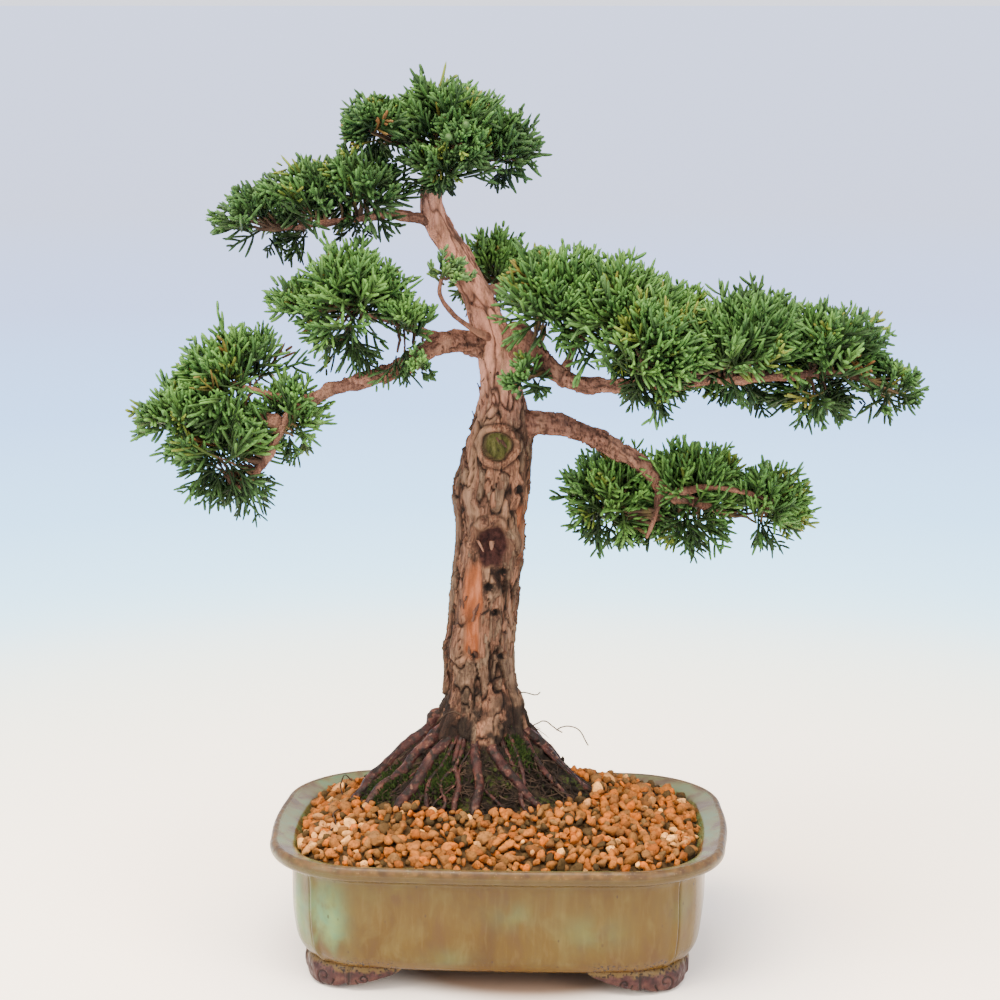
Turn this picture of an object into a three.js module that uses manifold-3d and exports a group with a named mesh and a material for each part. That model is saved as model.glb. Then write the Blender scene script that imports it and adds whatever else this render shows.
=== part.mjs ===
// A juniper bonsai in a soft-cornered glazed pot, in millimetres, +Z up.
// The pot is laid out about its own centre; the finished group is then moved so that the origin
// lies on the table, under the middle of the whole plant's bounding box.
import * as THREE from 'three';
import { mergeVertices } from 'three/addons/utils/BufferGeometryUtils.js';
import Module from 'manifold-3d';

const wasm = await Module();
wasm.setup();

// ---------------------------------------------------------------- driving dimensions

// Pot
const rimLength = 195; // along X, over the lip
const rimDepth = 140; // along Y, over the lip
const rimCornerRadius = 44;
const tightestCorner = 8; // no outline of the pot turns tighter than this
const sideBow = 1.6; // how far the middle of each side swells out
const potHeight = 60;
const lipOverhang = 9.5; // lip beyond the wall
const lipDrop = 6.5; // height of the lip's outer face, with its lower curve
const bottomDrawIn = 7; // how far the wall curves in towards the floor
const wallThickness = 6;
const floorThickness = 6;
const cornerGroove = 1.5; // depth of the crease down each corner

// Feet
const footHeight = 10.2;
const footRunX = 42; // length of a foot along the front
const footRunY = 35; // and along the end
const footThickness = 9;
const footStandOff = 0.5; // foot beyond the wall's lower curve
const footInnerBend = 4; // least radius of a foot's inner face

// Drainage
const drainHoleDiameter = 14;
const drainHoleSpacing = 76;
const screenSide = 24;
const screenThickness = 1;
const screenBar = 1.2; // width of the plastic between two openings
const crossBarShare = 0.8; // thickness of the cross bars, as a share of screenThickness
const screenCells = 4; // an even number, so that a clip can straddle the middle bar
const clipWire = 1.2;
const clipGrip = 3; // how far a clip's bent ends reach past the drainage hole's edge

// Planting
const gravelDrop = 3; // gravel at the wall, below the rim
const gravelCrest = 16; // gravel at the trunk, above the rim
const gravelSteepness = 1.7;
const gravelTurnDown = 1.4; // how far the gravel's edge turns down at the wall
const treeOffset = -3.4; // the tree's own zero lies this far left of the pot's centre
const trunkPlace = [treeOffset - 5, 20]; // where the trunk stands, from the pot's centre

// Tree: girths are given as shares of these
const trunkDiameter = 29;
const rootDiameter = 4.8;
const padSwell = 1; // scales every foliage lobe about its own centre
const coneRadius = 2.4;

// Clearances
const touchGap = 0.3; // between any two pieces that rest on, pass through or hold each other

// Fineness of the solids
const weldDistance = 1e-4;
const holeSides = 24;
const footArcSteps = 6;
const rootBallSides = 20;
const trunkSides = 12;
const limbSides = 6;
const lobeDetail = 1;

// Finishes: colour, roughness and metalness
const finishes = {
  glaze: [0xa58250, 0.32, 0],
  bark: [0x8f6a55, 0.85, 0],
  foliage: [0x3f7a3a, 0.7, 0],
  cone: [0xa9b98a, 0.5, 0],
  gravel: [0xb07a42, 0.9, 0],
  soil: [0x2c211b, 0.95, 0],
  moss: [0x3d5a1e, 0.95, 0],
  mesh: [0x23302a, 0.6, 0],
  wire: [0x9a6a4a, 0.35, 0.9],
};

// ---------------------------------------------------------------- solids

const point = (x, y, z) => new THREE.Vector3(x, y, z);

// A closed manifold solid from any closed three.js geometry.
function solidOf(geometry) {
  const bare = geometry.clone();
  bare.deleteAttribute('normal');
  bare.deleteAttribute('uv');
  const merged = mergeVertices(bare, weldDistance);
  return new wasm.Manifold(new wasm.Mesh({
    numProp: 3,
    vertProperties: new Float32Array(merged.attributes.position.array),
    triVerts: new Uint32Array(merged.index.array),
  }));
}

function geometryOf(solid) {
  const mesh = solid.getMesh();
  const geometry = new THREE.BufferGeometry();
  const places = new Float32Array(mesh.vertProperties);
  geometry.setAttribute('position', new THREE.BufferAttribute(places, 3));
  geometry.setIndex(new THREE.BufferAttribute(new Uint32Array(mesh.triVerts), 1));
  geometry.computeVertexNormals();
  return geometry;
}

const join = (solids) => solids.reduce((whole, next) => whole.add(next));
const cut = (solid, tools) => tools.reduce((left, tool) => left.subtract(tool), solid);

// What is left of a cut piece, without the crumbs that a cut can leave beside it.
function mainBody(solid) {
  const parts = solid.decompose();
  return parts.reduce((best, next) => (next.volume() > best.volume() ? next : best));
}

// A closed skin over rings that all have the same number of points. The rings run
// anticlockwise seen from +Z, from the middle of the underside outwards, up, and in again.
function loft(rings) {
  const count = rings[0].length;
  const middle = (ring) => ring.reduce((sum, p) => sum.add(p), point(0, 0, 0)).divideScalar(count);
  const points = [...rings.flat(), middle(rings[0]), middle(rings.at(-1))];
  const first = rings.length * count;
  const last = first + 1;
  const index = [];
  for (let i = 0; i < count; i += 1) {
    const j = (i + 1) % count;
    index.push(first, j, i);
    for (let r = 0; r + 1 < rings.length; r += 1) {
      const a = r * count;
      const b = a + count;
      index.push(a + i, a + j, b + j, a + i, b + j, b + i);
    }
    const top = (rings.length - 1) * count;
    index.push(last, top + i, top + j);
  }
  const geometry = new THREE.BufferGeometry().setFromPoints(points);
  geometry.setIndex(index);
  return geometry;
}

// A round, tapering limb along a smooth curve. extra widens and lengthens it, for cutting.
function limb(points, radii, sides, extra = 0) {
  const curve = new THREE.CatmullRomCurve3(points, false, 'centripetal');
  const count = points.length - 1;
  const start = curve.getTangent(0);
  const side = Math.abs(start.x) > Math.abs(start.y) ? point(0, 1, 0) : point(1, 0, 0);
  const rings = [];
  for (let s = 0; s <= count; s += 1) {
    const t = s / count;
    const tangent = curve.getTangent(t);
    const centre = curve.getPoint(t);
    if (s === 0) centre.addScaledVector(tangent, -extra);
    if (s === count) centre.addScaledVector(tangent, extra);
    side.addScaledVector(tangent, -side.dot(tangent)).normalize();
    const other = point(0, 0, 0).crossVectors(tangent, side);
    const place = t * (radii.length - 1);
    const span = Math.min(Math.floor(place), radii.length - 2);
    const radius = THREE.MathUtils.lerp(radii[span], radii[span + 1], place - span) + extra;
    rings.push(Array.from({ length: sides }, (_, i) => {
      const angle = (2 * Math.PI * i) / sides;
      return centre.clone()
        .addScaledVector(side, radius * Math.cos(angle))
        .addScaledVector(other, radius * Math.sin(angle));
    }));
  }
  return solidOf(loft(rings));
}

function ellipsoid(centre, radii, extra = 0) {
  const geometry = new THREE.IcosahedronGeometry(1, lobeDetail);
  geometry.scale(radii[0] + extra, radii[1] + extra, radii[2] + extra);
  geometry.translate(...centre);
  return solidOf(geometry);
}

const meshes = [];

function piece(name, solid, finish) {
  const [color, roughness, metalness] = finish;
  const material = new THREE.MeshStandardMaterial({ color, roughness, metalness });
  const mesh = new THREE.Mesh(geometryOf(solid), material);
  mesh.name = name;
  meshes.push(mesh);
}

// ---------------------------------------------------------------- pot

const creaseAngle = 45;
const cornerAngles = [0, 20, 40, creaseAngle, 50, 70, 90];

// The pot's outline drawn in by inset, as a ring at height z. A crease pulls in the one point at
// the middle of each corner.
function potRing(inset, z, crease = 0) {
  const halfX = rimLength / 2 - inset;
  const halfY = rimDepth / 2 - inset;
  const radius = Math.max(rimCornerRadius - inset, tightestCorner);
  const ring = [];
  for (let quarter = 0; quarter < 4; quarter += 1) {
    const signX = quarter === 0 || quarter === 3 ? 1 : -1;
    const signY = quarter < 2 ? 1 : -1;
    for (const degrees of cornerAngles) {
      const angle = THREE.MathUtils.degToRad(degrees + 90 * quarter);
      const reach = degrees === creaseAngle ? radius - crease : radius;
      ring.push(point(
        signX * (halfX - radius) + reach * Math.cos(angle),
        signY * (halfY - radius) + reach * Math.sin(angle),
        z,
      ));
    }
    const onEnd = quarter % 2 === 1;
    ring.push(onEnd
      ? point(signX * (halfX + sideBow), 0, z)
      : point(0, signY * (halfY + sideBow), z));
  }
  return ring;
}

const floorTop = footHeight + floorThickness;
const bottomInset = lipOverhang + bottomDrawIn;
const lipBottom = potHeight - lipDrop;

// Inner face of the wall: inset from the lip's outline, and height.
const hollow = [
  [bottomInset + wallThickness + 6, floorTop],
  [bottomInset + wallThickness, floorTop + 3],
  [lipOverhang + wallThickness + 1.5, floorTop + 10],
  [lipOverhang + wallThickness, floorTop + 20],
  [lipOverhang + wallThickness, lipBottom - 1],
  [lipOverhang + 1.2, potHeight - 3.4],
];

// Inset of the wall's inner face at a height.
function hollowInset(z) {
  const upper = hollow.findIndex((place) => place[1] >= z);
  const [below, above] = [hollow[upper - 1], hollow[upper]];
  return THREE.MathUtils.lerp(below[0], above[0], (z - below[1]) / (above[1] - below[1]));
}

// Outer face, from the underside up and over the lip: inset, height and depth of the crease.
const shell = [
  [bottomInset + 12, footHeight, 0],
  [bottomInset + 2, footHeight, 0],
  [bottomInset - 1.5, footHeight + 2.5, cornerGroove / 2],
  [lipOverhang + 1.5, footHeight + 10, cornerGroove],
  [lipOverhang, footHeight + 22, cornerGroove],
  [lipOverhang, lipBottom - 3, cornerGroove],
  [lipOverhang - 1.5, lipBottom - 0.5, cornerGroove / 2],
  [2.2, lipBottom + 1, 0],
  [0, lipBottom + 3, 0],
  [0.2, potHeight - 1.6, 0],
  [2, potHeight, 0],
  [4, potHeight - 0.4, 0],
];

function makePot() {
  const outside = shell.map(([inset, z, crease]) => potRing(inset, z, crease));
  const inside = hollow.map(([inset, z]) => potRing(inset, z)).reverse();
  let solid = solidOf(loft([...outside, ...inside]));
  for (const signX of [-1, 1]) {
    for (const signY of [-1, 1]) {
      solid = solid.add(makeFoot(signX, signY));
    }
    const holeRadius = drainHoleDiameter / 2;
    const hole = new THREE.CylinderGeometry(holeRadius, holeRadius, 3 * floorThickness, holeSides);
    hole.rotateX(Math.PI / 2);
    hole.translate((signX * drainHoleSpacing) / 2, 0, footHeight + floorThickness / 2);
    solid = solid.subtract(solidOf(hole));
  }
  return solid;
}

// One foot: a band that follows the underside round a corner.
function makeFoot(signX, signY) {
  const halfX = rimLength / 2 - bottomInset + footStandOff;
  const halfY = rimDepth / 2 - bottomInset + footStandOff;
  const radius = rimCornerRadius - bottomInset;
  const inner = Math.max(radius - footThickness, footInnerBend);
  const innerX = halfX - footThickness - inner;
  const innerY = halfY - footThickness - inner;
  const shape = new THREE.Shape();
  shape.moveTo(halfX - footRunX, halfY - footThickness);
  shape.lineTo(innerX, halfY - footThickness);
  shape.absarc(innerX, innerY, inner, Math.PI / 2, 0, true);
  shape.lineTo(halfX - footThickness, halfY - footRunY);
  shape.lineTo(halfX, halfY - footRunY);
  shape.lineTo(halfX, halfY - radius);
  shape.absarc(halfX - radius, halfY - radius, radius, 0, Math.PI / 2, false);
  shape.lineTo(halfX - footRunX, halfY);
  const geometry = new THREE.ExtrudeGeometry(shape, {
    depth: footHeight + floorThickness / 2,
    bevelEnabled: false,
    curveSegments: footArcSteps,
  });
  const foot = solidOf(geometry);
  return signX * signY > 0
    ? foot.rotate([0, 0, signX > 0 ? 0 : 180])
    : foot.mirror([1, 0, 0]).rotate([0, 0, signX > 0 ? 180 : 0]);
}

// ---------------------------------------------------------------- drainage

const screenPitch = (screenSide - screenBar) / screenCells;

// A square of plastic mesh over the drainage hole: full-length bars one way, and thinner, shorter
// ones across them, the outermost set in a little from the ends.
function makeScreen(centreX) {
  const bars = [];
  const setIn = 1 - touchGap / screenSide;
  for (let i = 0; i <= screenCells; i += 1) {
    const across = (i - screenCells / 2) * screenPitch;
    const along = new THREE.BoxGeometry(screenSide, screenBar, screenThickness);
    along.translate(0, across, 0);
    const crossThickness = crossBarShare * screenThickness;
    const over = new THREE.BoxGeometry(screenBar, screenSide - screenBar, crossThickness);
    over.translate(across * setIn, 0, 0);
    bars.push(solidOf(along), solidOf(over));
  }
  return join(bars).translate([centreX, 0, floorTop + touchGap + screenThickness / 2]);
}

// A wire staple over the screen: its legs pass through the middles of two openings and the
// drainage hole, and are bent out under the floor.
function makeClip(centreX) {
  const radius = clipWire / 2;
  const over = floorTop + 2 * touchGap + screenThickness + clipWire / 2;
  const under = footHeight - touchGap - clipWire / 2;
  const leg = screenPitch / 2;
  const tail = drainHoleDiameter / 2 + clipGrip;
  const bar = (from, to) => {
    const length = from.distanceTo(to) + 2 * radius;
    const rod = new THREE.BoxGeometry(2 * radius, 2 * radius, length);
    const direction = to.clone().sub(from).normalize();
    const turn = new THREE.Quaternion().setFromUnitVectors(point(0, 0, 1), direction);
    rod.applyQuaternion(turn);
    rod.translate(...from.clone().add(to).divideScalar(2).toArray());
    return solidOf(rod);
  };
  const bend = (x, z) => point(centreX + x, screenPitch / 2, z);
  return join([
    bar(bend(-leg, over), bend(leg, over)),
    bar(bend(-leg, over), bend(-leg, under)),
    bar(bend(leg, over), bend(leg, under)),
    bar(bend(-leg, under), bend(-tail, under)),
    bar(bend(leg, under), bend(tail, under)),
  ]);
}

// ---------------------------------------------------------------- soil and gravel

// Height of the gravel at a share t of the way from the trunk to the wall.
const gravelHeight = (t) => potHeight - gravelDrop
  + (gravelDrop + gravelCrest) * (1 - t ** gravelSteepness);

// The gravel fills the hollow up to its turned-down edge, where the wall leans out at about 45
// degrees, and then rises to the trunk.
function makeGravel() {
  const edgeHeight = potHeight - gravelDrop - gravelTurnDown;
  const sides = hollow.filter((place) => place[1] < edgeHeight).map(([inset, z]) => (
    potRing(inset + touchGap, Math.max(z, floorTop + touchGap))
  ));
  const edge = potRing(hollowInset(edgeHeight) + Math.SQRT2 * touchGap, edgeHeight);
  const surface = [0.985, 0.8, 0.6, 0.4, 0.2].map((t) => edge.map((p) => point(
    THREE.MathUtils.lerp(trunkPlace[0], p.x, t),
    THREE.MathUtils.lerp(trunkPlace[1], p.y, t),
    gravelHeight(t),
  )));
  return solidOf(loft([...sides, edge, ...surface]));
}

// The old root ball: it fills the middle of the pot and rises between the roots.
// Each ring is centre x, y, half length, half depth and height above the rim; x is from treeOffset.
const drainageTop = floorTop + screenThickness + clipWire + 4 * touchGap;
const rootBallRings = [
  [-4, 6, 46, 30, drainageTop - potHeight],
  [-4, 7, 56, 37, -22],
  [-5, 9, 58, 37, -4],
  [-7, 11, 55, 35.5, 5],
  [-9, 13, 47, 32, 12],
  [-8, 16, 38, 28.5, 20],
  [-7, 18, 30, 24, 28],
  [-6, 19, 22, 18.5, 34],
  [-6, 20, 16, 14, 39],
];

function makeRootBall(extra = 0) {
  return solidOf(loft(rootBallRings.map(([x, y, halfX, halfY, z], level) => (
    Array.from({ length: rootBallSides }, (_, i) => {
      const angle = (2 * Math.PI * i) / rootBallSides;
      return point(
        treeOffset + x + (halfX + extra) * Math.cos(angle),
        y + (halfY + extra) * Math.sin(angle),
        potHeight + z + (level > 0 ? extra : -extra),
      );
    })
  ))));
}

// The place on the root ball's surface in a direction, in degrees, at a height above the rim.
function onRootBall(degrees, height) {
  const upper = rootBallRings.findIndex((ring) => ring[4] > height);
  const [below, above] = [rootBallRings[upper - 1], rootBallRings[upper]];
  const share = (height - below[4]) / (above[4] - below[4]);
  const [x, y, halfX, halfY] = below.map((value, i) => THREE.MathUtils.lerp(value, above[i], share));
  const angle = THREE.MathUtils.degToRad(degrees);
  return [
    treeOffset + x + halfX * Math.cos(angle),
    y + halfY * Math.sin(angle),
    potHeight + height,
  ];
}

// ---------------------------------------------------------------- wood

// A place on the tree: across from treeOffset, away from the pot's centre, and above its rim.
const at = ([x, y, z]) => point(treeOffset + x, y, potHeight + z);
const girth = (share) => (share * trunkDiameter) / 2;

const trunkLine = [
  [-6, 20, 2], [-6, 20, 18], [-6, 20, 32], [-6, 21, 45], [-7, 22, 60], [-5, 22, 92], [-2, 22, 116],
  [0, 22, 142], [1, 22, 160], [2, 22, 172], [2, 22, 188], [1, 22, 204], [-4, 22, 217], [-9, 22, 230],
  [-17, 21, 245], [-25, 20, 258], [-27, 18, 270], [-26, 17, 288],
];
const trunkGirths = [
  0.7, 1.1, 1.34, 1.15, 0.98, 1, 0.94, 1, 0.95, 0.78, 0.62, 0.64, 0.5, 0.42,
  0.42, 0.42, 0.3, 0.14,
].map(girth);

// Each root: its line, and its girth as a share of rootDiameter at the trunk and at the tip.
const roots = {
  left_rear: [
    [[-12, 22, 40], [-30, 22, 38], [-44, 20, 29], [-54, 15, 19], [-62, 6, 7], [-68, 0, -6]],
    [1.6, 1],
  ],
  left_front: [
    [[-14, 16, 40], [-31, 6, 31], [-43, -1, 25], [-51, -4, 18], [-59, -6, 9], [-64, -8, -3]],
    [1.3, 0.8],
  ],
  front_thick: [
    [[-12, 12, 40], [-22, 1, 34], [-30, -6, 28], [-36, -10, 21], [-42, -15, 10], [-46, -18, -1]],
    [1.4, 0.95],
  ],
  front: [[[-9, 12, 42], [-9, -2, 34], [-7, -9, 26], [-6, -15, 18], [-6, -20, 4]], [1.3, 0.8]],
  front_right: [
    [[-6, 12, 42], [-2, -1, 34], [5, -8, 26], [13, -12, 19], [22, -17, 11], [28, -22, 2]],
    [1.3, 0.7],
  ],
  right_front: [[[0, 20, 42], [9, 16, 35], [18, 14, 27], [28, 13, 17], [36, 12, 5]], [1.1, 0.6]],
  right: [
    [[2, 26, 42], [13, 29, 34], [21, 31, 27], [29, 32, 19], [37, 33, 10], [44, 33, 0]],
    [1.2, 0.6],
  ],
  rear_right: [[[0, 28, 40], [8, 38, 30], [15, 45, 18], [20, 49, 4]], [1.2, 0.7]],
  rear: [[[-8, 28, 40], [-12, 40, 29], [-15, 47, 16], [-16, 50, 3]], [1.3, 0.8]],
  rear_left: [[[-14, 26, 40], [-28, 36, 30], [-38, 43, 18], [-45, 46, 4]], [1.3, 0.8]],
};

// The stub that the main right branch grows from.
const knucklePlace = [9, 17, 207];
const knuckleRadii = [6.5, 6.5, 6];

function makeTrunk(extra = 0) {
  const stem = limb(trunkLine.map(at), trunkGirths, trunkSides, extra);
  const spread = Object.values(roots).map(([line, shares]) => limb(
    line.map(at),
    shares.map((share) => (share * rootDiameter) / 2),
    limbSides,
    extra,
  ));
  const knuckle = ellipsoid(at(knucklePlace).toArray(), knuckleRadii, extra);
  return join([stem, ...spread, knuckle]);
}

// Branches: each entry is a list of limbs, and a limb is its line and its two or more radii.
const branches = {
  branch_left: [
    [[[-3, 22, 205], [-12, 14, 207], [-22, 7, 208], [-31, 1, 203], [-39, -5, 199], [-50, -9, 195],
      [-62, -11, 192], [-73, -12, 188], [-82, -12, 182], [-89, -13, 173], [-94, -15, 161]],
    [4.8, 4.2, 3.2, 2.6, 1.8]],
    [[[-93, -15, 164], [-101, -15, 153], [-109, -15, 147]], [1.6, 0.9]],
    [[[-80, -12, 184], [-94, -10, 188], [-110, -10, 192], [-124, -12, 192]], [1.8, 0.9]],
  ],
  branch_left_middle: [
    [[[-20, 9, 208], [-30, 4, 213], [-40, -2, 218], [-52, -6, 222], [-64, -8, 226]], [2.4, 1]],
  ],
  branch_right_low: [
    [[[6, 22, 170], [18, 24, 171], [30, 27, 169], [45, 30, 163], [63, 32, 152], [74, 34, 140],
      [86, 36, 135], [102, 38, 129]], [5.4, 4.6, 3.6, 2.8, 1.6]],
    [[[72, 34, 142], [70, 30, 130], [66, 26, 120]], [1.7, 0.8]],
    [[[78, 35, 138], [92, 32, 142], [106, 30, 141], [120, 30, 137]], [1.8, 0.8]],
    [[[60, 32, 154], [62, 44, 148], [58, 54, 142]], [1.6, 0.8]],
  ],
  branch_right_main: [
    [[[9, 18, 206], [16, 4, 208], [24, -3, 200], [34, -8, 194], [50, -12, 193], [68, -15, 194],
      [88, -18, 197], [110, -17, 198], [132, -14, 199], [148, -12, 199]], [4.6, 3.6, 3, 2.4, 1.4]],
    [[[60, -14, 194], [72, -30, 200], [84, -42, 203]], [1.6, 0.8]],
    [[[84, -18, 197], [98, 0, 203], [112, 14, 206]], [1.7, 0.8]],
    [[[30, -6, 197], [36, 4, 210], [42, 8, 222]], [1.8, 0.9]],
  ],
  branch_back: [
    [[[-6, 22, 227], [0, 28, 229], [6, 38, 230], [8, 50, 230], [6, 58, 230]], [2.4, 1]],
  ],
  branch_upper_left: [
    [[[-24, 20, 258], [-31, 17, 260], [-44, 10, 262], [-58, 3, 261], [-72, 0, 259], [-88, -3, 257]],
      [2.9, 2, 1]],
  ],
  twig_front: [
    [[[0, 18, 208], [-8, 6, 214], [-16, -6, 222], [-21, -13, 231], [-20, -16, 239]], [1.5, 0.8]],
  ],
};

const makeBranch = (limbs, extra = 0) => join(limbs.map(([line, radii]) => (
  limb(line.map(at), radii, limbSides, extra)
)));

// ---------------------------------------------------------------- foliage, moss and cones

// Each pad is a few overlapping lobes: centre, then half length, half depth and half height.
const pads = {
  foliage_apex: [
    [[-47, 10, 305], [19, 22, 14]], [[-22, 16, 300], [26, 30, 20]], [[2, 20, 290], [18, 22, 17]],
    [[-20, 4, 290], [20, 18, 14]], [[-14, 32, 293], [20, 18, 15]],
  ],
  foliage_upper_left: [
    [[-97, -4, 263], [19, 20, 14]], [[-75, 0, 266], [22, 27, 19]], [[-57, 4, 272], [20, 22, 18]],
  ],
  foliage_left_middle: [
    [[-79, -8, 226], [18, 20, 14]], [[-58, -10, 226], [22, 24, 26]], [[-40, -14, 216], [17, 16, 19]],
    [[-52, -16, 203], [18, 15, 12]],
  ],
  foliage_lower_left: [
    [[-132, -14, 182], [19, 20, 16]], [[-110, -8, 195], [25, 27, 21]], [[-115, -16, 167], [23, 24, 25]],
    [[-86, -14, 185], [20, 22, 21]],
  ],
  foliage_right_inner: [
    [[28, -4, 229], [24, 24, 24]], [[52, -6, 224], [26, 33, 25]], [[66, -24, 212], [26, 26, 24]],
    [[72, 10, 214], [24, 26, 22]],
  ],
  foliage_right_outer: [
    [[104, -22, 210], [30, 30, 25]], [[112, 8, 210], [30, 30, 23]], [[140, -12, 204], [30, 30, 26]],
    [[165, -10, 200], [16, 18, 13]],
  ],
  foliage_lower_right: [
    [[52, 44, 136], [21, 24, 21]], [[86, 44, 135], [27, 30, 24]], [[118, 40, 134], [20, 24, 19]],
  ],
  foliage_back: [
    [[-4, 58, 233], [19, 20, 18]], [[14, 62, 227], [15, 18, 18]],
  ],
  foliage_front: [
    [[-19, -17, 240], [8, 8, 10]],
  ],
};

const makePad = (lobes, extra = 0) => join(lobes.map(([[x, y, z], radii]) => (
  ellipsoid(at([x, y, z]).toArray(), radii.map((radius) => radius * padSwell), extra)
)));

const cones = {
  cone_upper: [-10, -13, 301],
  cone_lower: [-17, -14.5, 296],
};

// Moss grows on the root ball between the roots: direction in degrees, height above the rim and
// half sizes.
const mossPatches = {
  moss_front: [-113, 21, [9, 6, 8]],
  moss_left: [-151, 14, [7, 5, 6]],
  moss_right: [-47, 31, [6, 6, 5]],
};

// ---------------------------------------------------------------- assembly

piece('pot', makePot(), finishes.glaze);

const trunk = makeTrunk();
const trunkSpace = makeTrunk(touchGap);
piece('trunk', trunk, finishes.bark);

const holes = { left: -drainHoleSpacing / 2, right: drainHoleSpacing / 2 };
const drainageSpace = [];
for (const [side, centreX] of Object.entries(holes)) {
  piece(`drain_screen_${side}`, makeScreen(centreX), finishes.mesh);
  piece(`screen_clip_${side}`, makeClip(centreX), finishes.wire);
  const blockSide = screenSide + 2 * touchGap;
  const block = new THREE.BoxGeometry(blockSide, blockSide, drainageTop - floorTop);
  block.translate(centreX, 0, (floorTop + drainageTop) / 2);
  drainageSpace.push(solidOf(block));
}

const rootBall = mainBody(cut(makeRootBall(), [trunkSpace, ...drainageSpace]));
const rootBallSpace = makeRootBall(touchGap);
const gravelSpace = makeGravel();
piece('soil', rootBall, finishes.soil);
piece('gravel', mainBody(cut(gravelSpace, [rootBallSpace, trunkSpace, ...drainageSpace])), finishes.gravel);

for (const [name, [degrees, height, radii]] of Object.entries(mossPatches)) {
  const clump = ellipsoid(onRootBall(degrees, height), radii);
  piece(name, mainBody(cut(clump, [rootBallSpace, trunkSpace, gravelSpace])), finishes.moss);
}

// Each piece after the trunk is cut clear of everything made before it.
const taken = [trunkSpace];
for (const [name, limbs] of Object.entries(branches)) {
  piece(name, mainBody(cut(makeBranch(limbs), taken)), finishes.bark);
  taken.push(makeBranch(limbs, touchGap));
}

const coneRadii = [coneRadius, coneRadius, coneRadius];
for (const [name, place] of Object.entries(cones)) {
  const centre = at(place).toArray();
  piece(name, ellipsoid(centre, coneRadii), finishes.cone);
  taken.push(ellipsoid(centre, coneRadii, touchGap));
}

for (const [name, lobes] of Object.entries(pads)) {
  piece(name, mainBody(cut(makePad(lobes), taken)), finishes.foliage);
  taken.push(makePad(lobes, touchGap));
}

const bonsai = new THREE.Group();
bonsai.add(...meshes);
const bounds = new THREE.Box3().setFromObject(bonsai);
const middle = bounds.getCenter(point(0, 0, 0));
bonsai.position.set(-middle.x, -middle.y, -bounds.min.z);

export default bonsai;
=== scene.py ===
"""A juniper bonsai in a soft-cornered glazed pot.

Shapes are worked out in millimetres from the middle of the pot, with z up from the table, and put in the row
frame by the place of the pot there. Every shape is a surface over a grid of two parameters, or a set of tubes
along lines.
"""

import itertools

import bpy
import numpy as np
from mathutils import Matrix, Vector


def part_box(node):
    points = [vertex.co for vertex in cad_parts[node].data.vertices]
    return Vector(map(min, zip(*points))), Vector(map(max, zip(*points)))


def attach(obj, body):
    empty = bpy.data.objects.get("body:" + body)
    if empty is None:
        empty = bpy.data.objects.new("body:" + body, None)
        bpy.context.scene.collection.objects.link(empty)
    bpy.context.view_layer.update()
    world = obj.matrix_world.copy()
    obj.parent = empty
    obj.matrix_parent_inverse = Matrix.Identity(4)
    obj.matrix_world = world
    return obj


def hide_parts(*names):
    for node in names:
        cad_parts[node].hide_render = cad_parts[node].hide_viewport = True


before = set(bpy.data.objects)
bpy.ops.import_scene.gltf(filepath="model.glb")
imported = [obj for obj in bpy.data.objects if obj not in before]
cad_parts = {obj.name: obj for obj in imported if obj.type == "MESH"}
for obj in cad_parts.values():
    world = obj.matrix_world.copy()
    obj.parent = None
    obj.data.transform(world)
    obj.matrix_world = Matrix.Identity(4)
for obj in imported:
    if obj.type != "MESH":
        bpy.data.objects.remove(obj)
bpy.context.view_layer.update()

MM = 0.001
pot_low, pot_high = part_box("pot")
POT_MIDDLE = np.array([(pot_low.x + pot_high.x) / 2, (pot_low.y + pot_high.y) / 2, 0.0]) / MM
RIM = pot_high.z / MM
# Each side of the pot swells by the bow. Length and depth are those of the straight rim.
BOW = 1.6
LENGTH = (pot_high.x - pot_low.x) / MM - 2 * BOW
DEPTH = (pot_high.y - pot_low.y) / MM - 2 * BOW
CORNER = 44.0
LIP = 9.5
FOOT = 10.2
FLOOR = FOOT + 6.0
FOOT_INSET = LIP + 7.0
DRAIN_AWAY = 38.0
DRAIN_RADIUS = 7.0
# The tree's own zero is a little to the left of the pot's middle, and its places are given above the rim.
TREE = np.array([-3.4, 0.0, RIM])
TRUNK_FOOT = TREE[:2] + (-5, 20)
UP = np.array([0, 0, 1.0])

rng = np.random.default_rng(20)

# ---------------------------------------------------------------- noise


def share_of(cell, seed):
    """A repeatable random share from 0 to 1 for each whole-number place: its coordinates are multiplied by
    large primes and their bits mixed."""
    c = cell.astype(np.int64)
    n = (c[..., 0] * 73856093) ^ (c[..., 1] * 19349663) ^ (c[..., 2] * 83492791) ^ (seed * 2654435761)
    n = (n ^ (n >> 13)) & 0xFFFFFFFF
    n = (n * 1274126177) & 0xFFFFFFFF
    n = (n ^ (n >> 16)) & 0xFFFFFFFF
    n = (n * 668265263) & 0xFFFFFFFF
    return ((n ^ (n >> 15)) & 0xFFFFFF) / 0xFFFFFF


def noise(p, seed=0):
    """Smooth noise from -1 to 1: random values at whole-number points, blended between the eight round a
    place by the cubic 3t^2 - 2t^3."""
    p = np.asarray(p, float)
    base = np.floor(p)
    f = p - base
    f = f * f * (3 - 2 * f)
    total = np.zeros(p.shape[:-1])
    for corner in itertools.product((0, 1), repeat=3):
        weight = np.prod(np.where(np.array(corner), f, 1 - f), axis=-1)
        total += weight * share_of(base + corner, seed)
    return 2 * total - 1


def layered(p, seed=0, layers=3):
    """The sum of noises, each half as strong and twice as fine as the one before."""
    return sum(noise(np.asarray(p) * 2**k, seed + k) / 2**k for k in range(layers))


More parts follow.
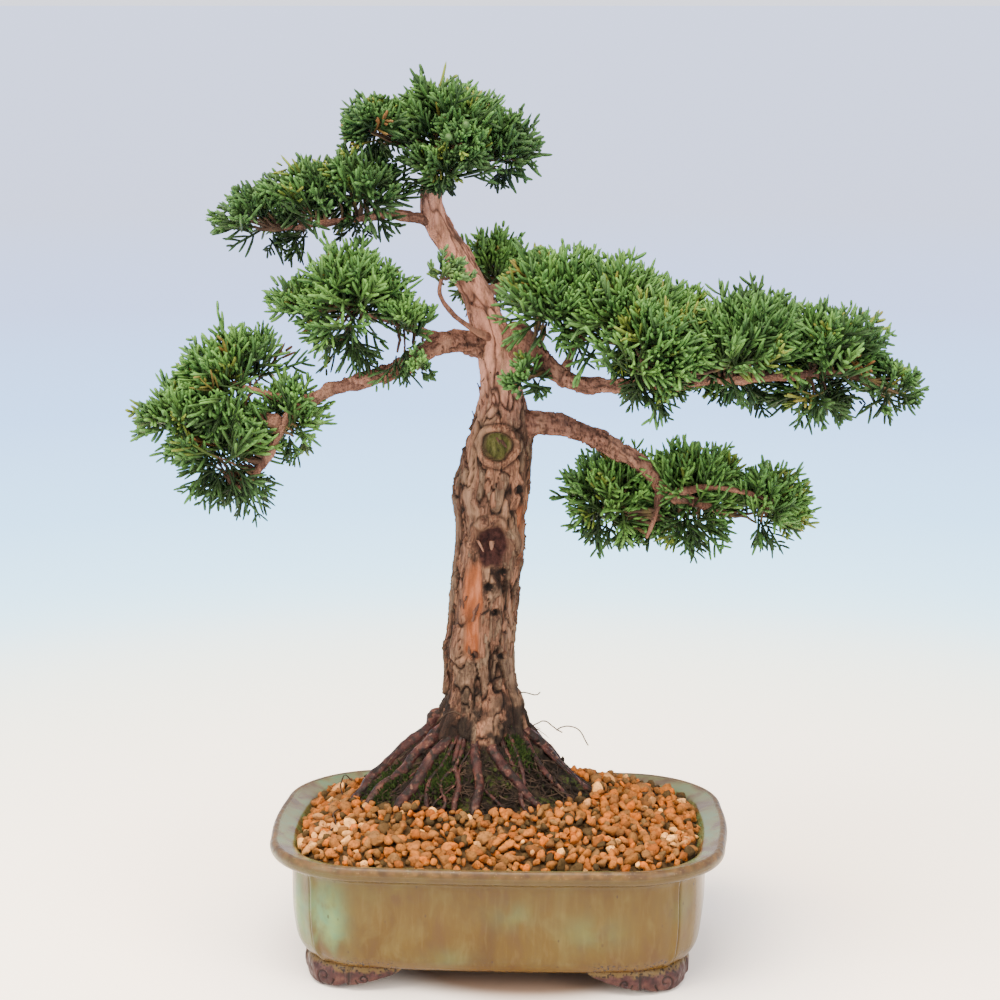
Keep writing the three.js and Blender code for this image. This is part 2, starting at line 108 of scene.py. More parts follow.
def cells(p, seed=0):
    """A cell pattern: each whole-number cube holds one random point. Gives the distance to the nearest point,
    how much farther the second nearest is, and a random share for the nearest."""
    base = np.floor(p)
    near = np.full(p.shape[:-1], 9.0)
    second = near.copy()
    which = near.copy()
    for offset in itertools.product((-1, 0, 1), repeat=3):
        cell = base + offset
        point = cell + np.stack([share_of(cell, seed + k) for k in range(3)], -1)
        distance = np.linalg.norm(p - point, axis=-1)
        closer = distance < near
        second = np.where(closer, near, np.minimum(second, distance))
        which = np.where(closer, share_of(cell, seed + 3), which)
        near = np.where(closer, distance, near)
    return near, second - near, which


def step(low, high, value):
    """0 below low, 1 above high, and a smooth cubic rise between."""
    t = np.clip((value - low) / (high - low), 0, 1)
    return t * t * (3 - 2 * t)


def bump(distance, width):
    """A bell curve of height 1 at distance 0."""
    return np.exp(-((distance / width) ** 2))


def unit(v):
    """Vectors of the same directions and length 1."""
    return v / np.maximum(np.linalg.norm(v, axis=-1, keepdims=True), 1e-9)


# ---------------------------------------------------------------- meshes


def grid_faces(rows, columns, wrap=False):
    """The four-sided faces of a grid of rows and columns; wrap joins the last column to the first."""
    r, c = np.meshgrid(np.arange(rows - 1), np.arange(columns if wrap else columns - 1), indexing="ij")
    d = (c + 1) % columns
    low, high = r * columns, (r + 1) * columns
    return np.stack([low + c, low + d, high + d, high + c], -1).reshape(-1, 4)


def repeated(faces, count, each):
    """The faces of many copies of a shape, each copy's points following the last one's."""
    starts = np.arange(count) * each
    return (faces[None] + starts[:, None, None]).reshape(-1, 4)


def joined(shapes):
    """One list of points and one of faces from several."""
    points, faces, start = [], [], 0
    for p, f in shapes:
        points.append(p.reshape(-1, 3))
        faces.append(f + start)
        start += len(points[-1])
    return np.concatenate(points), np.concatenate(faces)


def outward(points, faces):
    """The faces, turned over if the volume that they close comes out negative."""
    a, b, c, d = (points[faces[:, k]] - points.mean(0) for k in range(4))
    volume = np.sum(a * np.cross(b, c)) + np.sum(a * np.cross(c, d))
    return faces if volume > 0 else faces[:, ::-1]


def make_piece(name, points, faces, paint, stands_for=(), shares=None, palette=None):
    """A mesh object at the origin from points in millimetres about the pot's middle. shares are named numbers
    per point that its material reads, and palette is a place per point on a chart of colours."""
    points = points.reshape(-1, 3)
    mesh = bpy.data.meshes.new(name)
    mesh.vertices.add(len(points))
    mesh.vertices.foreach_set("co", ((points + POT_MIDDLE) * MM).astype(np.float32).ravel())
    mesh.loops.add(faces.size)
    mesh.loops.foreach_set("vertex_index", faces.astype(np.int32).ravel())
    mesh.polygons.add(len(faces))
    mesh.polygons.foreach_set("loop_start", np.arange(0, faces.size, faces.shape[1], dtype=np.int32))
    mesh.update(calc_edges=True)
    mesh.polygons.foreach_set("use_smooth", np.ones(len(faces), bool))
    for label, values in (shares or {}).items():
        attribute = mesh.attributes.new(label, "FLOAT", "POINT")
        attribute.data.foreach_set("value", np.asarray(values, np.float32).ravel())
    if palette is not None:
        chart = mesh.uv_layers.new(name="OFBake")
        chart.data.foreach_set("uv", palette.reshape(-1, 2)[faces.ravel()].astype(np.float32).ravel())
    mesh.materials.append(paint)
    thing = bpy.data.objects.new(name, mesh)
    bpy.context.scene.collection.objects.link(thing)
    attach(thing, "root")
    if stands_for:
        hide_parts(*stands_for)
    return thing


# ---------------------------------------------------------------- lines and tubes


def smooth_line(points, spacing):
    """Evenly spaced points on a curve through the given ones. Between two of them the curve is a cubic whose
    slope at each is half the step between that point's neighbours."""
    p = np.asarray(points, float)
    q = np.vstack([2 * p[0] - p[1], p, 2 * p[-1] - p[-2]])
    t = np.linspace(0, len(p) - 1, 40 * len(p))
    i = np.minimum(t.astype(int), len(p) - 2)
    f = (t - i)[:, None]
    a, b, c, d = q[i], q[i + 1], q[i + 2], q[i + 3]
    line = 0.5 * (2 * b + (c - a) * f + (2 * a - 5 * b + 4 * c - d) * f**2 + (3 * b - a - 3 * c + d) * f**3)
    travelled = np.concatenate([[0], np.cumsum(np.linalg.norm(np.diff(line, axis=0), axis=1))])
    count = max(int(travelled[-1] / spacing), 4)
    at = np.linspace(0, travelled[-1], count)
    given = np.interp(at, travelled, t) / (len(p) - 1)
    return np.stack([np.interp(at, travelled, line[:, k]) for k in range(3)], -1), given


def frames(line):
    """The direction of a line at each station, and two directions square to it that are carried along without
    twist."""
    along = unit(np.gradient(line, axis=0))
    side = np.array([1.0, 0, 0]) if abs(along[0, 0]) < 0.8 else np.array([0, 1.0, 0])
    sides = []
    for direction in along:
        side = side - direction * np.dot(side, direction)
        side /= np.linalg.norm(side)
        sides.append(side)
    sides = np.array(sides)
    return along, sides, np.cross(along, sides)


def limb(points, radii, spacing, around, relief=None):
    """A limb's skin: at each station of a smooth line, a ring whose radius is the girth there plus
    relief(place, ring angle, distance along, radius). Gives the grid of points, its faces and the shares that
    relief returns."""
    line, given = smooth_line(points, spacing)
    _, side, other = frames(line)
    radius = np.interp(given, np.linspace(0, 1, len(radii)), radii)
    ends = np.minimum(np.arange(len(line)), np.arange(len(line))[::-1]) * spacing
    angle = np.linspace(0, 2 * np.pi, around, endpoint=False)
    ray = side[:, None] * np.cos(angle)[:, None] + other[:, None] * np.sin(angle)[:, None]
    skin = line[:, None] + ray * radius[:, None, None]
    shares = {}
    travelled = np.arange(len(line)) * spacing
    if relief:
        height, shares = relief(skin, angle[None, :], travelled[:, None], radius[:, None])
    else:
        height = np.zeros(skin.shape[:2])
    closing = np.sqrt(np.clip(ends / np.maximum(radius, 0.3), 0.002, 1))
    reach = (radius[:, None] + height) * closing[:, None]
    skin = line[:, None] + ray * reach[..., None]
    return skin.reshape(-1, 3), grid_faces(len(line), around, wrap=True), shares


def tubes(lines, radii, sides):
    """Thin tubes, one along each of many short lines: a ring of corners stands square to the line at each
    station."""
    along = unit(np.gradient(lines, axis=1))
    general = unit(along.mean(1))
    spare = np.where(np.abs(general[:, :1]) < 0.7, np.array([[1.0, 0, 0]]), np.array([[0, 1.0, 0]]))
    side = unit(np.cross(along, spare[:, None]))
    other = np.cross(along, side)
    angle = 2 * np.pi * np.arange(sides) / sides
    ring = side[:, :, None] * np.cos(angle)[:, None] + other[:, :, None] * np.sin(angle)[:, None]
    points = lines[:, :, None] + ring * radii[:, :, None, None]
    count, stations = lines.shape[:2]
    return points.reshape(-1, 3), repeated(grid_faces(stations, sides, wrap=True), count, stations * sides)


# ---------------------------------------------------------------- paint


# How light becomes screen colour: the colours mix a little, each is bent by the curve of a grey, and they mix
# again. The curve pairs steps of a screen with stops of light above or below a light of 1.
LIGHT_MIX = np.array([[0.8056, 0.1499, 0.0445], [0.0675, 0.8365, 0.096], [0.0498, 0.0786, 0.8716]])
SCREEN_MIX = np.array([[0.8128, 0.1351, 0.0521], [0.0518, 0.9429, 0.0053], [0.0548, 0.0942, 0.851]])
GREY_CURVE = np.array([
    (0.2, -11), (1.5, -9.5), (6.4, -8), (20.2, -6.5), (34.2, -5.5), (53.7, -4.5), (80.8, -3.5), (116.6, -2.5),
    (153.5, -1.5), (169.6, -1), (184, -0.5), (196.6, 0), (207.6, 0.5), (217.2, 1), (225.6, 1.5), (233, 2),
    (239.5, 2.5), (245.2, 3),
])
STUDIO_LIGHT = np.array([4.2, 3.7, 3.2])


def light_of(red, green, blue):
    """The amounts of light that show as a colour given in 0 to 255 steps of a screen."""
    stops = np.interp(SCREEN_MIX @ np.array([red, green, blue], float), *GREY_CURVE.T)
    return np.linalg.inv(LIGHT_MIX) @ 2.0**stops


def tint(red, green, blue):
    """The paint that shows as a screen colour where the studio light falls on it."""
    return (*np.clip(light_of(red, green, blue) / STUDIO_LIGHT, 0.001, 0.95), 1.0)


def even_stops(colours):
    """Stops of a ramp from 0 to 1, as far apart as each other, one for each screen colour."""
    return [(at, tint(*colour)) for at, colour in zip(np.linspace(0, 1, len(colours)), colours)]


class Paint:
    """A material, with short ways to add nodes. Sizes of patterns are in millimetres."""

    def __init__(self, name, roughness=0.6, **finish):
        self.material = bpy.data.materials.new(name)
        self.material.use_nodes = True
        self.tree = self.material.node_tree
        self.tree.nodes.clear()
        self.shader = self.node("ShaderNodeBsdfPrincipled")
        output = self.node("ShaderNodeOutputMaterial")
        self.tree.links.new(self.shader.outputs[0], output.inputs[0])
        self.place = self.node("ShaderNodeTexCoord").outputs["Object"]
        self.set("Roughness", roughness)
        for socket, value in finish.items():
            self.set(socket.replace("_", " "), value)

    def node(self, kind, **settings):
        """A new node with the given settings."""
        made = self.tree.nodes.new(kind)
        for key, value in settings.items():
            setattr(made, key, value)
        return made

    def feed(self, socket, value):
        """Links a socket to another, or gives it a value."""
        if isinstance(value, bpy.types.NodeSocket):
            self.tree.links.new(value, socket)
        else:
            socket.default_value = value

    def set(self, socket, value):
        """Feeds a socket of the shader."""
        self.feed(self.shader.inputs[socket], value)

    def stretched(self, stretch):
        """The place on the object, on axes that stretch a pattern by the given shares."""
        axes = self.node("ShaderNodeMapping")
        self.feed(axes.inputs["Vector"], self.place)
        axes.inputs["Scale"].default_value = [1 / s for s in stretch]
        return axes.outputs[0]

    def noise(self, size, detail=3, stretch=(1, 1, 1), warp=0.0):
        """Cloudy noise about 0.5."""
        made = self.node("ShaderNodeTexNoise")
        self.feed(made.inputs["Vector"], self.stretched(stretch))
        made.inputs["Scale"].default_value = 1 / (size * MM)
        made.inputs["Detail"].default_value = detail
        made.inputs["Distortion"].default_value = warp
        return made.outputs["Fac"]

    def spots(self, size, stretch=(1, 1, 1)):
        """Distance to the nearest of random spots."""
        made = self.node("ShaderNodeTexVoronoi")
        self.feed(made.inputs["Vector"], self.stretched(stretch))
        made.inputs["Scale"].default_value = 1 / (size * MM)
        return made.outputs["Distance"]

    def share(self, label):
        """A named number of the mesh's points, 0 where the mesh has none of that name."""
        return self.node("ShaderNodeAttribute", attribute_name=label).outputs["Fac"]

    def height(self):
        """Height above the table in millimetres."""
        split = self.node("ShaderNodeSeparateXYZ")
        self.feed(split.inputs[0], self.place)
        return self.sum("DIVIDE", split.outputs["Z"], MM)

    def ramp(self, value, stops):
        """Colours between the given ones, each at its value."""
        made = self.node("ShaderNodeValToRGB")
        self.feed(made.inputs[0], value)
        while len(made.color_ramp.elements) < len(stops):
            made.color_ramp.elements.new(0.5)
        for element, (at, colour) in zip(made.color_ramp.elements, sorted(stops)):
            element.position = at
            element.color = colour
        return made.outputs[0]

    def level(self, value, low, high, start=0.0, end=1.0):
        """A smooth change from start to end while the value goes from low to high."""
        made = self.node("ShaderNodeMapRange", interpolation_type="SMOOTHSTEP")
        self.feed(made.inputs["Value"], value)
        for socket, number in zip(("From Min", "From Max", "To Min", "To Max"), (low, high, start, end)):
            made.inputs[socket].default_value = number
        return made.outputs[0]

    def sum(self, operation, a, b=0.0, c=0.0):
        """A sum on up to three numbers."""
        made = self.node("ShaderNodeMath", operation=operation)
        for socket, value in zip(made.inputs, (a, b, c)):
            self.feed(socket, value)
        return made.outputs[0]

    def mix(self, share, a, b):
        """Colour a with a share of colour b over it."""
        made = self.node("ShaderNodeMix", data_type="RGBA")
        for socket, value in zip((made.inputs[0], made.inputs[6], made.inputs[7]), (share, a, b)):
            self.feed(socket, value)
        return made.outputs[2]

    def relief(self, value, depth):
        """Bumps of the given depth in millimetres."""
        made = self.node("ShaderNodeBump")
        made.inputs["Strength"].default_value = 1.0
        made.inputs["Distance"].default_value = depth * MM
        self.feed(made.inputs["Height"], value)
        self.set("Normal", made.outputs[0])


def glaze_paint():
    """Olive-tan glaze with soft clouds, faint runs, brown pinholes and turquoise pools. It has worn to
    mauve-brown on the edge of the lip, and lies pale on top of it."""
    p = Paint("glaze", 0.3, Specular_IOR_Level=0.22, Coat_Weight=0.06, Coat_Roughness=0.12)
    z = p.height()
    base = p.ramp(p.noise(30, 4, (1, 1, 1.5), 0.6), [
        (0.3, tint(118, 68, 18)), (0.45, tint(138, 90, 22)),
        (0.6, tint(142, 98, 30)), (0.75, tint(146, 116, 48))])
    cloud = p.noise(11, 4, (1, 1, 1.7), 0.5)
    base = p.mix(p.level(cloud, 0.5, 0.7, 0, 0.4), base, tint(162, 134, 66))
    base = p.mix(p.level(cloud, 0.48, 0.3, 0, 0.6), base, tint(128, 74, 32))
    run = p.noise(2.2, 4, (1, 1, 7), 0.3)
    base = p.mix(p.level(run, 0.45, 0.72, 0, 0.22), base, tint(120, 76, 34))
    base = p.mix(p.level(run, 0.5, 0.3, 0, 0.16), base, tint(172, 144, 84))
    pools = p.sum("MULTIPLY", p.share("pool"), p.level(p.noise(15, 4, (1, 1, 1.3), 0.5), 0.28, 0.6))
    base = p.mix(pools, base, p.ramp(p.noise(7, 3), [(0.3, tint(128, 168, 132)), (0.7, tint(162, 172, 116))]))
    holes = p.level(p.spots(4.2, (1, 1, 1.8)), 0.16, 0.07)
    holes = p.sum("MULTIPLY", holes, p.level(p.noise(12, 2), 0.45, 0.6))
    base = p.mix(holes, base, tint(92, 60, 38))
    # Painted shade under the lip: the glaze darkens from 13 mm below the rim and stays darker up to the rim.
    base = p.mix(p.level(z, RIM - 13, RIM - 7.2, 0, 0.55), base, tint(108, 76, 36))
    base = p.mix(p.level(z, FOOT + 6.3, FOOT + 2, 0, 0.6), base, tint(146, 92, 28))
    top = p.ramp(p.noise(12, 4, (1, 1, 1), 0.5), [
        (0.3, tint(142, 160, 116)), (0.46, tint(158, 148, 92)),
        (0.6, tint(148, 108, 58)), (0.75, tint(120, 80, 44))])
    base = p.mix(p.share("lip_top"), base, top)
    worn = p.sum("MULTIPLY", p.share("lip_edge"), p.level(p.noise(2.4, 4, (1, 1, 1)), 0.3, 0.62, 0.3, 1))
    base = p.mix(worn, base, p.ramp(p.noise(5, 4), [(0.35, tint(108, 62, 30)), (0.65, tint(166, 116, 58))]))
    flecks = p.sum("MULTIPLY", p.level(p.spots(1.6), 0.2, 0.1), p.share("lip_edge"))
    base = p.mix(p.sum("MULTIPLY", flecks, 0.25), base, tint(206, 186, 150))
    burnt = p.level(p.sum("MULTIPLY_ADD", p.noise(5, 4), 6.0, z), FOOT + 5, FOOT + 2.6)
    near_feet = p.share("near_foot")
    base = p.mix(p.sum("MULTIPLY", burnt, near_feet), base, tint(132, 86, 68))
    char = p.sum("MULTIPLY", p.level(p.noise(1.3, 4), 0.54, 0.66), p.level(z, FOOT + 7.3, FOOT + 3.3))
    base = p.mix(p.sum("MULTIPLY", char, near_feet), base, tint(50, 34, 26))
    p.set("Base Color", base)
    p.set("Roughness", p.level(worn, 0, 1, 0.27, 0.55))
    wave = p.sum("ADD", p.noise(9, 3), p.sum("MULTIPLY", p.noise(1.1, 3), 0.12))
    p.relief(wave, 0.28)
    return p.material


def clay_paint():
    """Purple-brown fired clay, a little shiny where ash has settled on it, with a ragged edge of glaze
    above."""
    p = Paint("bare clay", 0.45, Specular_IOR_Level=0.2)
    base = p.ramp(p.noise(4, 5), [
        (0.3, tint(64, 27, 27)), (0.5, tint(102, 48, 43)), (0.72, tint(140, 84, 68))])
    # Painted shade: the spiral grooves of the feet are darkened.
    base = p.mix(p.share("groove"), base, tint(52, 30, 26))
    line = p.sum("MULTIPLY_ADD", p.noise(3.5, 4), 6.0, p.height())
    base = p.mix(p.level(line, FOOT + 1.2, FOOT + 3.2), base, tint(148, 108, 54))
    char = p.sum("MULTIPLY", p.level(p.noise(1.2, 4), 0.53, 0.62), p.level(line, FOOT - 0.8, FOOT + 1.4))
    base = p.mix(char, base, tint(42, 28, 22))
    p.set("Base Color", base)
    p.set("Roughness", p.level(p.noise(3), 0.3, 0.7, 0.3, 0.6))
    p.relief(p.noise(1.4, 4), 0.35)
    return p.material


def bark_paint(name, plates, crack, grey):
    """Flaking bark: each plate has its own tone, cracks are dark, and loose strips weather to grey. A cut
    wound is green with algae, an old scar is purple-brown, and fresh bark under a lost plate is orange."""
    p = Paint(name, 0.8, Specular_IOR_Level=0.08)
    plate = p.share("tone")
    base = p.ramp(plate, even_stops(plates))
    grain = p.noise(0.9, 5, (1, 1, 7), 0.4)
    base = p.mix(p.level(grain, 0.4, 0.66, 0, 0.7), base, tint(*crack))
    base = p.mix(p.level(grain, 0.5, 0.25, 0, 0.5), base, tint(*grey))
    base = p.mix(p.level(p.noise(9, 4, (1, 1, 3)), 0.5, 0.62, 0, 0.6), base, tint(*grey))
    worn = p.level(p.noise(4, 4, (1, 1, 2.5)), 0.34, 0.6, 0.25, 1)
    base = p.mix(p.sum("MULTIPLY", p.share("pale"), worn), base, tint(224, 194, 176))
    base = p.mix(p.share("orange"), base, p.ramp(p.noise(3, 4, (1, 1, 5)), [
        (0.3, tint(156, 88, 54)), (0.5, tint(194, 122, 78)), (0.7, tint(210, 160, 124))]))
    base = p.mix(p.share("scar"), base, p.ramp(p.noise(2, 4), [
        (0.35, tint(52, 25, 21)), (0.65, tint(108, 58, 46))]))
    base = p.mix(p.share("crack"), base, tint(48, 29, 21))
    base = p.mix(p.share("cut"), base, p.ramp(p.noise(2.2, 4, (1, 1, 2)), [
        (0.35, tint(74, 64, 32)), (0.5, tint(122, 108, 52)), (0.65, tint(152, 134, 78))]))
    base = p.mix(p.share("dark"), base, tint(44, 32, 26))
    p.set("Base Color", base)
    p.relief(p.sum("ADD", grain, p.noise(0.6, 4)), 0.7)
    return p.material


def root_paint():
    """Red-purple root skin with pale scuffs and dirt, slightly shiny."""
    p = Paint("root skin", 0.45, Specular_IOR_Level=0.13)
    base = p.ramp(p.noise(5, 4, (1, 1, 1.5), 0.4), [
        (0.28, tint(42, 20, 15)), (0.45, tint(84, 38, 30)),
        (0.6, tint(126, 66, 50)), (0.78, tint(172, 116, 86))])
    base = p.mix(p.level(p.noise(2.2, 5), 0.58, 0.7, 0, 0.6), base, tint(184, 142, 114))
    base = p.mix(p.level(p.noise(3.6, 5), 0.5, 0.58, 0, 0.9), base, tint(42, 28, 20))
    base = p.mix(p.share("crack"), base, tint(44, 29, 23))
    base = p.mix(p.level(p.share("low"), 0, 1, 0, 0.55), base, tint(64, 44, 32))
    p.set("Base Color", base)
    p.set("Roughness", p.level(p.noise(2), 0.3, 0.7, 0.32, 0.75))
    p.relief(p.noise(1.1, 5), 0.6)
    return p.material


def leaf_paint():
    """Scale-leaf shoots, coloured by a chart: across it run the tones of shoots, from shaded ones through
    green, blue green and yellow green to dead tan, and up it the way from a shoot's foot to its tip. Fine
    bands mark the scales."""
    p = Paint("scale leaves", 0.5)
    split = p.node("ShaderNodeSeparateXYZ")
    p.feed(split.inputs[0], p.node("ShaderNodeUVMap", uv_map="OFBake").outputs[0])
    tone, way = split.outputs["X"], split.outputs["Y"]
    foot = p.ramp(tone, [(0.04, tint(26, 37, 11)), (0.2, tint(40, 55, 20)), (0.34, tint(43, 61, 24)),
                         (0.44, tint(64, 83, 35)), (0.52, tint(86, 104, 46)), (0.6, tint(74, 92, 48)),
                         (0.78, tint(98, 110, 46)), (0.94, tint(124, 78, 38))])
    tip = p.ramp(tone, [(0.04, tint(50, 68, 28)), (0.2, tint(82, 104, 50)), (0.34, tint(120, 148, 82)),
                        (0.44, tint(154, 178, 108)), (0.52, tint(172, 190, 118)), (0.6, tint(148, 168, 112)),
                        (0.78, tint(184, 184, 104)), (0.94, tint(186, 132, 80))])
    base = p.mix(p.level(way, 0.25, 0.9), foot, tip)
    band = p.sum("MULTIPLY_ADD", p.sum("SINE", p.sum("MULTIPLY", way, 62.0)), 0.5, 0.5)
    base = p.mix(p.sum("MULTIPLY", band, 0.22), base, foot)
    p.set("Base Color", base)
    p.set("Specular IOR Level", 0.12)
    p.set("Roughness", p.level(band, 0, 1, 0.42, 0.6))
    return p.material


def grain_paint(name, tones, pit):
    """Stones: each has its own tone, with dusty and pitted patches."""
    p = Paint(name, 0.85, Specular_IOR_Level=0.08)
    base = p.ramp(p.share("tone"), even_stops(tones))
    base = p.mix(p.level(p.noise(2.6, 5), 0.4, 0.66, 0, 0.55), base, tint(*pit))
    base = p.mix(p.level(p.noise(0.8, 4), 0.54, 0.7, 0, 0.6), base, tint(*[v * 0.55 for v in pit]))
    p.set("Base Color", base)
    p.relief(p.sum("ADD", p.noise(1.6, 5), p.noise(0.5, 3)), 0.4)
    return p.material


def muck_paint():
    """Wet black-brown soil with moss flecks."""
    p = Paint("muck", 0.85, Specular_IOR_Level=0.1)
    base = p.ramp(p.noise(3, 6), [(0.3, tint(24, 16, 10)), (0.5, tint(46, 31, 21)), (0.72, tint(86, 62, 42))])
    green = p.sum("MULTIPLY", p.level(p.noise(9, 3), 0.48, 0.6), p.level(p.noise(1.3, 4), 0.45, 0.6))
    base = p.mix(p.sum("MULTIPLY", green, 0.8), base, tint(92, 98, 38))
    p.set("Base Color", base)
    p.relief(p.sum("ADD", p.noise(1.2, 6), p.noise(3.5, 3)), 1.2)
    return p.material


def plain_paint(name, colours, size, roughness, depth=0.2, **finish):
    """A material whose colour wanders between the given ones."""
    p = Paint(name, roughness, **{"Specular_IOR_Level": 0.12, **finish})
    places = np.linspace(0.28, 0.72, len(colours))
    stops = [(at, tint(*colour)) for at, colour in zip(places, colours)]
    p.set("Base Color", p.ramp(p.noise(size, 4), stops))
    p.relief(p.noise(size / 3, 4), depth)
    return p.material


# ---------------------------------------------------------------- pot


def outline_stations():
    """Stations round a soft-cornered rectangle, closest together by the crease at the middle of each corner.
    For each: signs of x and y, ring angle, way along the straight side (0 on a corner), its outward direction
    and the signed share of the quarter turn from the crease, positive towards the long side."""
    spread = np.linspace(-1, 1, 57)
    turn = 45 + 45 * np.sign(spread) * np.abs(spread) ** 1.7
    straight = np.linspace(0, 1, 26)[1:-1]
    rows = []
    for quarter in range(4):
        sx = 1 if quarter in (0, 3) else -1
        sy = 1 if quarter < 2 else -1
        angle = np.radians(turn + 90 * quarter)
        towards_long = 1 if quarter in (0, 2) else -1
        crease = np.radians(turn - 45) * towards_long
        zero = np.zeros_like(angle)
        rows.append(np.stack([zero + sx, zero + sy, angle, zero, zero, crease], -1))
        zero = np.zeros_like(straight)
        after = np.radians(90.0 * (quarter + 1))
        rows.append(np.stack([zero + sx, zero + sy, zero + after, straight, zero + 1, zero + 9], -1))
    return np.concatenate(rows)


STATIONS = outline_stations()


def pot_ring(inset, z, crease=0.0):
    """The pot's outline, drawn in by inset, at a height: quarter arcs joined by sides that swell by the bow.
    The crease adds a ridge where the long side ends, a groove beside it and a corner panel that lies a little
    back."""
    sx, sy, angle, along, on_side, turn = STATIONS.T
    half_x, half_y = LENGTH / 2 - inset, DEPTH / 2 - inset
    radius = max(CORNER - inset, 8)
    ray = np.stack([np.cos(angle), np.sin(angle)], -1)
    corner = np.stack([sx * (half_x - radius), sy * (half_y - radius)], -1)
    run = np.where(np.abs(ray[:, 0]) > 0.5, 2 * (half_y - radius), 2 * (half_x - radius))
    ahead = np.stack([-ray[:, 1], ray[:, 0]], -1)
    away = turn * radius
    ridge = 1.1 * bump(away - 2, 1.3)
    groove = 2.2 * bump(away, 0.75)
    panel = 0.8 * step(-13, -5, away) * step(0.6, 0, away)
    swell = BOW * np.sin(np.pi * along) * on_side
    out = radius + crease * (ridge - groove - panel) * (1 - on_side) + swell
    flat = corner + ray * out[:, None] + ahead * (run * along * on_side)[:, None]
    return np.column_stack([flat, np.full(len(flat), z)])


# Skin of the pot, from the underside up the wall, over the lip and down inside: inset, height and crease.
POT_SKIN = [
    (FOOT_INSET + 6, FOOT, 0), (FOOT_INSET + 2, FOOT, 0), (FOOT_INSET - 0.6, FOOT + 0.6, 0.4),
    (FOOT_INSET - 2.6, FOOT + 2.6, 0.7), (LIP + 2, FOOT + 7, 1), (LIP + 0.7, FOOT + 14, 1),
    (LIP, FOOT + 23, 1), (LIP, RIM - 14, 1), (LIP - 0.2, RIM - 11, 1), (LIP - 1.2, RIM - 8.8, 0.8),
    (LIP - 3.4, RIM - 7.3, 0.45), (3.4, RIM - 6.7, 0.2), (1.3, RIM - 6, 0), (0.3, RIM - 4.8, 0),
    (0, RIM - 3.4, 0), (0.15, RIM - 2.2, 0), (0.5, RIM - 1.3, 0), (1.1, RIM - 0.4, 0), (2, RIM, 0),
    (3.2, RIM - 0.35, 0), (5.5, RIM - 1.1, 0), (8.4, RIM - 1.9, 0), (10.2, RIM - 2.7, 0),
    (11.2, RIM - 3.9, 0), (12.6, RIM - 5.6, 0), (14.8, RIM - 8.4, 0), (LIP + 6, RIM - 12, 0),
    (LIP + 6, RIM - 21, 0), (LIP + 7.5, FLOOR + 10, 0), (FOOT_INSET + 6, FLOOR + 3, 0),
    (FOOT_INSET + 12, FLOOR, 0),
]

# The pot's floor from the wall in to the drainage hole, down it and out again underneath: share of the way
# from the hole, and height.
FLOOR_SKIN = [
    (1, FLOOR), (0.5, FLOOR), (0.04, FLOOR), (0, FLOOR - 0.5),
    (0, FOOT + 0.5), (0.04, FOOT), (0.5, FOOT), (1, FOOT),
]

# Turquoise pools on the outer wall: centre, half width and half height.
POOLS = [
    ((-90, -44, 32), 11, 24), ((-70, -60, 32), 10, 18), ((84, -52, 38), 9, 7),
    ((42, -62, 30), 13, 8), ((8, -62, 38), 9, 6), ((-20, -62, 17), 10, 5),
    ((72, 58, 30), 15, 16), ((-62, 60, 36), 20, 10), ((88, 20, 28), 13, 14),
]


def make_pot():
    """The fired pot: a skin of rings that follow a profile round the outline, and a floor whose grid runs
    from each drainage hole out to the skin."""
    profile, _ = smooth_line(POT_SKIN, 0.62)
    rings = np.array([pot_ring(inset, z, max(crease, 0)) for inset, z, crease in profile])
    rings[..., :2] *= (1 + 0.0012 * noise(rings / 24, 5))[..., None]
    shell = rings.reshape(-1, 3)
    shell_faces = outward(shell, grid_faces(len(profile), len(STATIONS), wrap=True))
    points, faces = joined([(shell, shell_faces), pot_floor(-1), pot_floor(1)])
    x, y, z = points.T
    on_floor = len(points) - len(shell)
    inset = np.concatenate([np.repeat(profile[:, 0], len(STATIONS)), np.full(on_floor, 30.0)])
    before_top = np.arange(len(profile)) < np.argmax(profile[:, 1])
    outside = np.concatenate([np.repeat(before_top, len(STATIONS)), np.zeros(on_floor, bool)])
    pool = sum(bump(np.hypot(x - c[0], y - c[1]), wide) * bump(z - c[2], high) for c, wide, high in POOLS)
    pool = np.where(outside, pool * (0.26 + 1.2 * step(-56, -72, x)), 0.15)
    lip_top = step(RIM - 1.6, RIM - 0.6, z) * step(2.2, 3.4, inset)
    inner_wall = step(3, 4, inset) * ~outside * step(30, 40, z)
    shares = {
        "pool": np.clip(pool, 0, 1),
        "lip_top": np.clip(lip_top + inner_wall, 0, 1),
        "lip_edge": step(RIM - 3.8, RIM - 1.6, z) * step(3.8, 2.6, inset),
        "near_foot": step(36, 46, np.abs(x)) * step(60, 45, z),
    }
    make_piece("pot_glazed", points, faces, glaze_paint(), ["pot"], shares)


def reach_at(border, centre, bearing):
    """How far a border lies from a centre at each bearing, in even steps between the border's points."""
    offset = border - centre
    known = np.arctan2(offset[:, 1], offset[:, 0])
    order = np.argsort(known)
    return np.interp(bearing, known[order], np.linalg.norm(offset, axis=1)[order], period=2 * np.pi)


